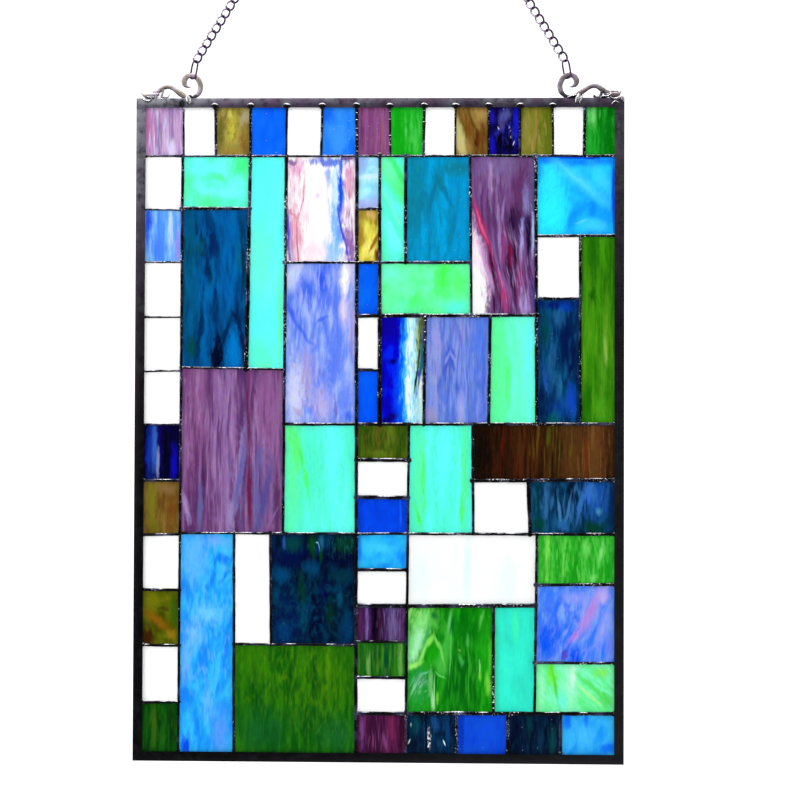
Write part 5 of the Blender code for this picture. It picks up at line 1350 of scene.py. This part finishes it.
def dome(across, down, half_w, half_h, base, high, face, seed, taper=0.0):
    """A low rounded blob of solder lying on a surface, narrowing downwards by taper."""
    around = 14
    rings = 4
    sections = []
    for r in range(rings):
        lift = math.sin(math.pi / 2.0 * r / rings)
        reach = math.cos(math.pi / 2.0 * r / rings)
        ring = []
        for k in range(around):
            turn = 2.0 * math.pi * k / around
            rough = 1.0 + 0.14 * wave(math.cos(turn) * 1.3, math.sin(turn) * 1.3, seed)
            narrow = 1.0 - taper * max(0.0, math.sin(turn))
            x = across + half_w * reach * rough * narrow * math.cos(turn)
            z = down + half_h * reach * rough * math.sin(turn)
            ring.append(place(x, face * (base + high * lift), z))
        sections.append(ring)
    return loft(sections)


def build_solder():
    """All beads and the blobs where they meet, as one piece."""
    pile = Pile()
    seams = list(UPRIGHTS.values()) + list(LEVELS.values())
    for seed, seam in enumerate(seams):
        pile.add(bead(seam, seed * 3.7))
    margin = CAME_FACE + 1.0
    for seed, seam in enumerate(seams):
        reach = 0.2 + 0.55 * max(bead_width(seam))
        for x, z in (seam[:2], seam[2:4]):
            inside = margin < x < PANEL_W - margin and margin < z < PANEL_H - margin
            high = BEAD_HIGH_BACK + 0.1 if inside else 1.5
            pile.add(dome(x, z, reach, reach, GLASS_HALF, BEAD_HIGH + 0.12, -1.0, seed))
            pile.add(dome(x, z, reach, reach, GLASS_HALF, high, 1.0, seed))
    add_piece("solder_beads", "solder_lattice", pile.shape(), solder_material())


# Drops standing on the upright beads, their tops painted bright as a highlight: how far down, and half
# the width.
DROPS = {
    "t5": ((18.0, 0.8), (25.0, 0.7)),
    "t6": ((14.7, 1.4), (21.3, 1.6), (29.3, 1.3), (35.8, 1.5), (50.6, 1.1)),
    "t7": ((13.3, 1.1), (20.7, 1.3), (36.0, 1.5), (44.7, 1.3)),
    "t8": ((12.4, 1.2), (23.3, 1.7)),
    "g": ((77.5, 1.2), (87.0, 1.0), (105.5, 1.3), (134.5, 1.0), (147.0, 1.1)),
    "i": ((209.0, 1.2), (219.5, 1.1), (227.0, 1.3)),
    "p": ((540.0, 1.1), (549.0, 0.9), (556.6, 1.1), (564.0, 1.4), (569.0, 1.2)),
}


def lug_material():
    """Solder drops: black below, a painted highlight as a bright crescent along the top."""
    graph, here = start_material("lug_solder")
    lumps = graph.grain(here, 1.2, 3.0, 0.6)
    # Painted highlight: the upward-facing top of each drop turns bright.
    lit = graph.spread(graph.math("MULTIPLY_ADD", lumps, 0.4, graph.facing()[2]), 0.56, 0.68)
    colour = graph.mix(lit, linear((10, 10, 15)), linear((250, 249, 250)))
    return graph.metal(colour, lumps, (0.2, 0.4), 0.7, 0.4)


def build_lugs():
    """Drops of solder: over the came where the top row's seams end, and on some beads."""
    pile = Pile()
    for key, drops in DROPS.items():
        for down, size in drops:
            across = upright_at(key, down)
            pile.add(dome(across, down, size * 1.1, size * 0.9, DROP_BASE, DROP_HIGH, -1.0, down))
    for n in range(2, 13):
        across = UPRIGHTS["t%d" % n][0] + 0.5 * wave(n * 1.7, 2.0, 5.0)
        wide = 4.0 * (1.0 + 0.2 * wave(n * 2.3, 4.0, 1.0))
        tall = 3.4 * (1.0 + 0.15 * wave(n * 3.1, 7.0, 2.0))
        pile.add(dome(across, LUG_DOWN, wide, tall, CAME_HALF - 0.2, LUG_HIGH, -1.0, n, 0.8))
    add_piece("solder_lugs", "solder_lattice", pile.shape(), lug_material())


# --- came -----------------------------------------------------------------

def came_material():
    """Black metal: grey at the upper left as painted light from above, brown down the left's outer edge.
    """
    graph, here = start_material("came_patina")
    mottle = graph.grain(here, 7.0, 4.0, 0.6, bend=0.4)
    tint = graph.grain(here, 16.0, 3.0, shift=(5, 3, 1))
    across, _, down = graph.parts(here)
    # Near black, greyer towards the right, brown at the left's outer edge.
    low = graph.tones(mottle, (0.36, (3, 4, 8)), (0.52, (9, 9, 14)), (0.66, (22, 22, 26)))
    low = graph.lay(graph.spread(across, 60.0, 440.0, 0.0, 0.6), low, (42, 42, 46))
    edge = graph.spread(graph.math("MULTIPLY_ADD", mottle, 5.0, across), 8.5, 4.5, 0.0, 0.8)
    edge = graph.math("MULTIPLY", edge, graph.spread(down, 560.0, 260.0))
    low = graph.lay(edge, low, (38, 31, 33))
    # Grey violet, palest at the upper left corner as a painted pool of light, with a dark line along the
    # top.
    high = graph.tones(tint, (0.36, (104, 82, 108)), (0.5, (108, 98, 118)), (0.64, (128, 126, 138)))
    near = graph.math("ADD", across, down)
    high = graph.lay(graph.spread(near, 130.0, 20.0, 0.0, 0.8), high, (148, 150, 156))
    shade = graph.math("ABSOLUTE", graph.math("SUBTRACT", down, 8.0))
    high = graph.lay(graph.spread(shade, 4.0, 1.0, 0.0, 0.5), high, (58, 52, 84))
    high = graph.lay(graph.spread(mottle, 0.5, 0.36, 0.0, 0.7), high, (66, 60, 76))
    # The grey, painted light from above over mottled patina, gives way to the black down the panel.
    fall = graph.math("MULTIPLY_ADD", across, 0.24, down)
    top_light_share = graph.spread(graph.math("MULTIPLY_ADD", mottle, 90.0, fall), 400.0, 60.0)
    colour = graph.mix(graph.math("MULTIPLY", top_light_share, top_light_share), low, high)
    # A painted shadow beside the left hook's foot.
    foot = graph.math("MULTIPLY_ADD", mottle, 1.2, graph.reach(here, 43.4, 5.4, 3.4, 5.0))
    colour = graph.lay(graph.spread(foot, 1.8, 1.2, 0.0, 0.9), colour, (14, 20, 20))
    return graph.metal(colour, mottle, (0.34, 0.58), 0.8, 0.35, Specular_IOR_Level=0.3)


def rounded(points, radius):
    """A closed outline with each corner replaced by three points."""
    out = []
    for i, corner in enumerate(points):
        before = Vector(points[i - 1]) - Vector(corner)
        after = Vector(points[(i + 1) % len(points)]) - Vector(corner)
        r = min(radius, before.length * 0.45, after.length * 0.45)
        p = Vector(corner) + before.normalized() * r
        q = Vector(corner) + after.normalized() * r
        out.extend([p, (p + q) / 2.0 * 0.5 + Vector(corner) * 0.5, q])
    return out


def build_came():
    """The U-shaped came on all four sides, with soft edges and faint waves."""
    outer = CAME_HALF
    inner = CAME_HALF - CAME_WALL
    outline = rounded([
        (0.0, -outer), (CAME_FACE, -outer), (CAME_FACE, -inner), (CAME_FLOOR, -inner),
        (CAME_FLOOR, inner), (CAME_FACE, inner), (CAME_FACE, outer), (0.0, outer),
    ], CAME_EDGE)
    corners = [(0, 0), (1, 0), (1, 1), (0, 1)]
    sections = []
    for n, corner in enumerate(corners):
        following = corners[(n + 1) % 4]
        steps = 64 if corner[1] == following[1] else 86
        for i in range(steps):
            t = i / steps
            cx = corner[0] + (following[0] - corner[0]) * t
            cz = corner[1] + (following[1] - corner[1]) * t
            section = []
            for inset, y in outline:
                across = inset + (PANEL_W - 2.0 * inset) * cx
                down = inset + (PANEL_H - 2.0 * inset) * cz
                if i and abs(y) > inner + 0.5:
                    dent = CAME_DENT * wave(across / 17.0, y, down / 17.0)
                    y -= math.copysign(abs(dent), y)
                section.append(place(across, y, down))
            sections.append(section)
    came = add_piece("came_frame", "frame_came", loft(sections, closed=True), came_material())
    came.data.set_sharp_from_angle(angle=SHARP_CAME)


# --- hooks, chain and ring --------------------------------------------------

# Painted shade at the hooks' feet, where they meet the came: (across, up, half width, half height).
FOOT_SHADE = [(402.4, 3.2, 6.0, 3.6), (54.0, 1.6, 3.4, 2.4), (436.4, 3.6, 3.4, 3.2), (428.7, 2.4, 2.2, 2.2)]


def cast_material():
    """Grey cast metal, tan and lilac by turns, with painted shade beneath and painted glints on its
    leaves.
    """
    graph, here = start_material("cast_pewter")
    tint = graph.grain(here, 7.0, 2.0)
    grain = graph.grain(here, 0.9, 3.0, 0.6)
    across = graph.parts(here)[0]
    _, deep, rise = graph.facing()
    colour = graph.tones(tint, (0.38, (184, 168, 190)), (0.5, (162, 152, 152)), (0.62, (136, 126, 116)))
    colour = graph.lay(graph.spread(across, 60.0, 400.0, 0.0, 0.55), colour, (78, 66, 78))
    # Painted shade at each foot.
    for place_on, up, wide, tall in FOOT_SHADE:
        foot = graph.spread(graph.reach(here, place_on, -up, wide, tall), 1.3, 0.7, 0.0, 0.8)
        colour = graph.lay(foot, colour, (26, 20, 46))
    # Painted shade on its sides and beneath, and painted glints on the leaves.
    flank_shade = graph.spread(graph.math("MULTIPLY_ADD", grain, 0.3, deep), -0.3, 0.1, 0.0, 0.75)
    colour = graph.lay(flank_shade, colour, (58, 48, 62))
    under_shade = graph.spread(graph.math("MULTIPLY_ADD", grain, 0.5, rise), 0.2, -0.45)
    colour = graph.lay(under_shade, colour, (40, 30, 52))
    leaf = graph.math("ABSOLUTE", graph.math("SUBTRACT", across, PANEL_W / 2.0))
    leaf = graph.spread(leaf, PANEL_W / 2.0 - 26.0, PANEL_W / 2.0 - 20.0)
    glint = graph.spread(graph.math("MULTIPLY_ADD", rise, 0.3, grain), 0.6, 0.72)
    colour = graph.lay(graph.math("MULTIPLY", glint, leaf), colour, (226, 222, 224))
    return graph.metal(colour, grain, (0.36, 0.56), 0.55, 0.5, 0.25)


def bright_solder_material():
    """Bright silver solder, painted light on its upper faces and painted shade on the lower, mottled by
    its lumps.
    """
    graph, here = start_material("bright_solder")
    lumps = graph.grain(here, 1.6, 3.0, 0.6)
    # Painted light from above: faces turned up are bright, the rest dark.
    lit = graph.spread(graph.math("MULTIPLY_ADD", lumps, 1.4, graph.facing()[2]), 0.2, 0.8)
    colour = graph.mix(lit, linear((46, 46, 56)), linear((240, 238, 240)))
    return graph.metal(colour, lumps, (0.2, 0.4), 0.85, 0.5)


def hook_place(across, y, up, mirror):
    """A hook point, measured from its own corner of the panel."""
    return place(PANEL_W - across if mirror else across, y, -up)


def sided(points, per):
    """A strap's smoothed rows, each with its number and the way across it."""
    rows = smoothed(points, per)
    for i, row in enumerate(rows):
        before = rows[max(i - 1, 0)]
        after = rows[min(i + 1, len(rows) - 1)]
        along = Vector((after[0] - before[0], after[1] - before[1])).normalized()
        yield i, row, Vector((-along.y, along.x))


def cast_strap(points, mirror, seed):
    """A cast strap with softly rounded sides, closed at both ends."""
    sides = 14
    sections = []
    for i, (across, up, width, depth), side in sided(points, 6):
        section = []
        for k in range(sides):
            turn = 2.0 * math.pi * (k + 0.5) / sides
            c = squared(math.cos(turn), 0.8)
            d = squared(math.sin(turn), 0.8)
            cast = 1.0 + 0.07 * wave(i / 3.0 + seed, c * 1.5, d * 1.5)
            x = across + side.x * c * width / 2.0 * cast
            z = up + side.y * c * width / 2.0 * cast
            section.append(hook_place(x, d * depth / 2.0 * cast, z, mirror))
        sections.append(section)
    return loft(sections)


def ridge(points, mirror, seed):
    """A soft ridge lying on the came's front and lapping over its top edge."""
    sides = 10
    sunk = 0.25
    front = -CAME_HALF + sunk
    sections = []
    for i, (across, up, width, high), side in sided(points, 5):
        section = []
        for k in range(sides):
            turn = math.pi * k / (sides - 1)
            rough = 1.0 + 0.12 * wave(i / 2.0 + seed, math.cos(turn) * 2.0, seed)
            reach = math.cos(turn) * width / 2.0 * rough
            back = front + 1.9 * min(1.0, max(0.0, up))
            y = back + (front - high - sunk - back) * math.sin(turn)
            section.append(hook_place(across + side.x * reach, y, up + side.y * reach, mirror))
        sections.append(section)
    return loft(sections)


def build_hook(name, straps, leaves, ridges, mirror, cast, solder):
    """One scroll hook with its leaves, and the solder that holds it."""
    pile = Pile()
    pile.add(cast_strap(SPIRAL, mirror, 1.0))
    for seed, points in enumerate(straps.values()):
        pile.add(cast_strap(points, mirror, seed * 5.0 + 3.0))
    for points in leaves:
        pile.add(ridge(points, mirror, 9.0))
    add_piece(name, name, pile.shape(), cast)
    pile = Pile()
    for seed, points in enumerate(ridges):
        pile.add(ridge(points, mirror, seed * 3.0 + 2.0))
    add_piece(name + "_solder", name, pile.shape(), solder)


def chain_material():
    """Dark plated steel, purple brown, with a painted sheen down the left side of its curb links."""
    graph, here = start_material("chain_plating")
    plating_grain = graph.grain(here, 2.2, 3.0, 0.6)
    colour = graph.tones(plating_grain, (0.36, (40, 26, 56)), (0.52, (70, 48, 86)), (0.66, (104, 82, 112)))
    # How far right of its chain's middle line each place is: the left side gets a painted sheen, as lit
    # from the left.
    start, direction = chain_line()
    parts = graph.parts(here)
    across = graph.math("SUBTRACT", parts[0], PANEL_W / 2.0)
    reach = graph.math("MULTIPLY", graph.math("ABSOLUTE", across), math.sin(direction))
    off = graph.math("MULTIPLY_ADD", parts[2], -math.cos(direction), reach)
    line = start.z * math.cos(direction) - start.x * math.sin(direction)
    off = graph.math("MULTIPLY", graph.math("SUBTRACT", off, line), graph.math("SIGN", across))
    # Painted sheen along the left side of the curb links.
    wear_and_sheen = graph.spread(graph.math("MULTIPLY_ADD", plating_grain, 2.0, off), 0.2, -1.6, 0.0, 0.5)
    curb = graph.spread(parts[2], -start.z + 4.0, -start.z)
    colour = graph.lay(graph.math("MULTIPLY", wear_and_sheen, curb), colour, (200, 190, 204))
    return graph.metal(colour, plating_grain, (0.22, 0.4), 0.9, 0.3, 0.1)


def link_path(start, direction, long, half, square, twists, steps):
    """Points of one closed link: an oval, twisted from its low to its high end."""
    up = Vector((math.cos(direction), 0.0, math.sin(direction)))
    side = Vector((math.sin(direction), 0.0, -math.cos(direction)))
    front = Vector((0.0, -1.0, 0.0))
    path = []
    for i in range(steps):
        turn = 2.0 * math.pi * (i + 0.5) / steps
        c = squared(math.cos(turn), square)
        d = squared(math.sin(turn), square)
        u = long / 2.0 * (1.0 - c)
        twist = twists[0] + (twists[1] - twists[0]) * u / long
        lateral = side * math.cos(twist) + front * math.sin(twist)
        path.append(start + up * u + lateral * (half * d))
    return path


def chain_line():
    """Where the curb links start, and the direction they run up to the ring."""
    end_x = SEAT_ACROSS - PANEL_W / 2.0 + LONG_LINK * math.cos(LONG_LEAN)
    end_up = SEAT_UP + LONG_LINK * math.sin(LONG_LEAN)
    ring_up = TOP / -MM - RING_MIDDLE + RING_WIRE
    return Vector((end_x, 0.0, end_up)), math.atan2(ring_up - end_up, -end_x)


def build_chain(name, turned, material):
    """Half of the chain: long link, curb links, and the long link at the ring."""
    start, direction = chain_line()
    along = Vector((math.cos(direction), 0.0, math.sin(direction)))
    seat = Vector((SEAT_ACROSS - PANEL_W / 2.0, 0.0, SEAT_UP))
    low = (LONG_TWIST, LONG_TWIST)
    high = (-LONG_TWIST, -LONG_TWIST)
    paths = [(link_path(seat, LONG_LEAN, LONG_LINK, LONG_HALF, 0.5, low, 36), LONG_WIRE)]
    for n in range(CURB_COUNT):
        foot = start + along * (n * CURB_PITCH - LINK_STEP)
        curb = link_path(foot, direction, CURB_LONG, CURB_HALF, 0.85, (-TWIST, TWIST), 24)
        paths.append((curb, CURB_WIRE))
    foot = start + along * (CURB_COUNT * CURB_PITCH - LINK_STEP)
    paths.append((link_path(foot, direction, LONG_LINK, LONG_HALF, 0.5, high, 36), LONG_WIRE))
    pile = Pile()
    flip = -1.0 if turned else 1.0
    for path, wire in paths:
        metres = [Vector((flip * p.x * MM, flip * p.y * MM, p.z * MM + TOP)) for p in path]
        pile.add(wire_loop(metres, wire * MM))
    add_piece(name, name, pile.shape(), material)


def build_ring(material):
    """The ring both chains hang on."""
    steps = 64
    path = []
    for i in range(steps):
        turn = 2.0 * math.pi * i / steps
        up = RING_MIDDLE * math.sin(turn) - RING_MIDDLE + RING_WIRE
        path.append(Vector((RING_MIDDLE * math.cos(turn) * MM, 0.0, up * MM)))
    add_piece("ring", "hanging_ring", wire_loop(path, RING_WIRE * MM, 16), material)


# --- world, floor, lights and camera ---------------------------------------

def build_world():
    """Bright white all round, a little darker on the side the viewer stands."""
    world = bpy.data.worlds.new("bright_wall")
    bpy.context.scene.world = world
    graph = Graph(world)
    way = graph.parts(graph.node("ShaderNodeTexCoord").outputs["Generated"])
    fade = graph.spread(way[1], -1.0, -0.2, 0.1, 1.0)
    seen = graph.node("ShaderNodeLightPath").outputs["Is Camera Ray"]
    strength = graph.math("MULTIPLY", graph.math("MAXIMUM", seen, fade), WALL_LIGHT)
    back = graph.node("ShaderNodeBackground", Color=WHITE_LIGHT, Strength=strength)
    graph.surface(back, "ShaderNodeOutputWorld")


def build_floor():
    """A pale floor well below the hanging panel."""
    graph = Graph(bpy.data.materials.new("pale_floor"))
    point = graph.node("ShaderNodeTexCoord").outputs["Object"]
    tone = graph.noise(graph.mapping(point, "POINT", scale=(2.0, 2.0, 2.0)), 3.0)
    colour = graph.mix(tone, linear((236, 235, 232)), linear((246, 246, 244)))
    shader = graph.node("ShaderNodeBsdfPrincipled", Base_Color=colour, Roughness=0.7)
    z = CAD_LOW.z - FLOOR_DROP
    corners = [(x * FLOOR_HALF, y * FLOOR_HALF, z) for x, y in ((-1, -1), (1, -1), (1, 1), (-1, 1))]
    floor = add_object("floor", (corners, [(0, 1, 2, 3)]), graph.surface(shader))


def add_light(name, centre, aim, size, power):
    """A soft rectangular lamp."""
    lamp = bpy.data.lights.new(name, "AREA")
    lamp.shape = "RECTANGLE"
    lamp.size, lamp.size_y = size
    lamp.energy = power
    obj = bpy.data.objects.new(name, lamp)
    obj.location = centre
    obj.rotation_euler = (aim - centre).to_track_quat("-Z", "Y").to_euler()
    bpy.context.scene.collection.objects.link(obj)


def build_lights():
    """Two lamps in front, above and to the left, for the solder's highlights."""
    middle = place(PANEL_W / 2.0, 0.0, PANEL_H / 2.0)
    add_light("lamp_above", middle + Vector((-0.1, -0.55, 1.1)), middle, (0.9, 0.16), 9.0)
    add_light("lamp_left", middle + Vector((-1.1, -0.7, 0.35)), middle, (0.2, 0.5), 3.0)


def build_camera():
    """Eye level a little below and right of the panel's middle."""
    data = bpy.data.cameras.new("view")
    data.sensor_width = 36.0
    data.lens = EYE_LENS
    cam = bpy.data.objects.new("view", data)
    cam.location = place(PANEL_W / 2.0 + EYE_RIGHT, -EYE_AWAY, EYE_DOWN)
    turn = Matrix.Rotation(EYE_TURN, 3, "Z")
    tip = Matrix.Rotation(math.pi / 2.0 + EYE_RISE, 3, "X")
    roll = Matrix.Rotation(EYE_ROLL, 3, "Z")
    cam.rotation_euler = (turn @ tip @ roll).to_euler()
    bpy.context.scene.collection.objects.link(cam)
    bpy.context.scene.camera = cam


build_camera()
build_world()
build_floor()
build_lights()
build_panes()
build_top_tiles()
build_left_tiles()
build_solder()
build_came()
cast_metal = cast_material()
top_lit_solder = bright_solder_material()
build_hook("hook_left", LEFT_STRAPS, [], LEFT_RIDGES, False, cast_metal, top_lit_solder)
build_hook("hook_right", RIGHT_STRAPS, [RIGHT_LEAF], RIGHT_RIDGES, True, cast_metal, top_lit_solder)
plating = chain_material()
build_chain("chain_left", False, plating)
build_chain("chain_right", True, plating)
build_ring(plating)
build_lugs()
bpy.context.scene.view_settings.view_transform = "Standard"
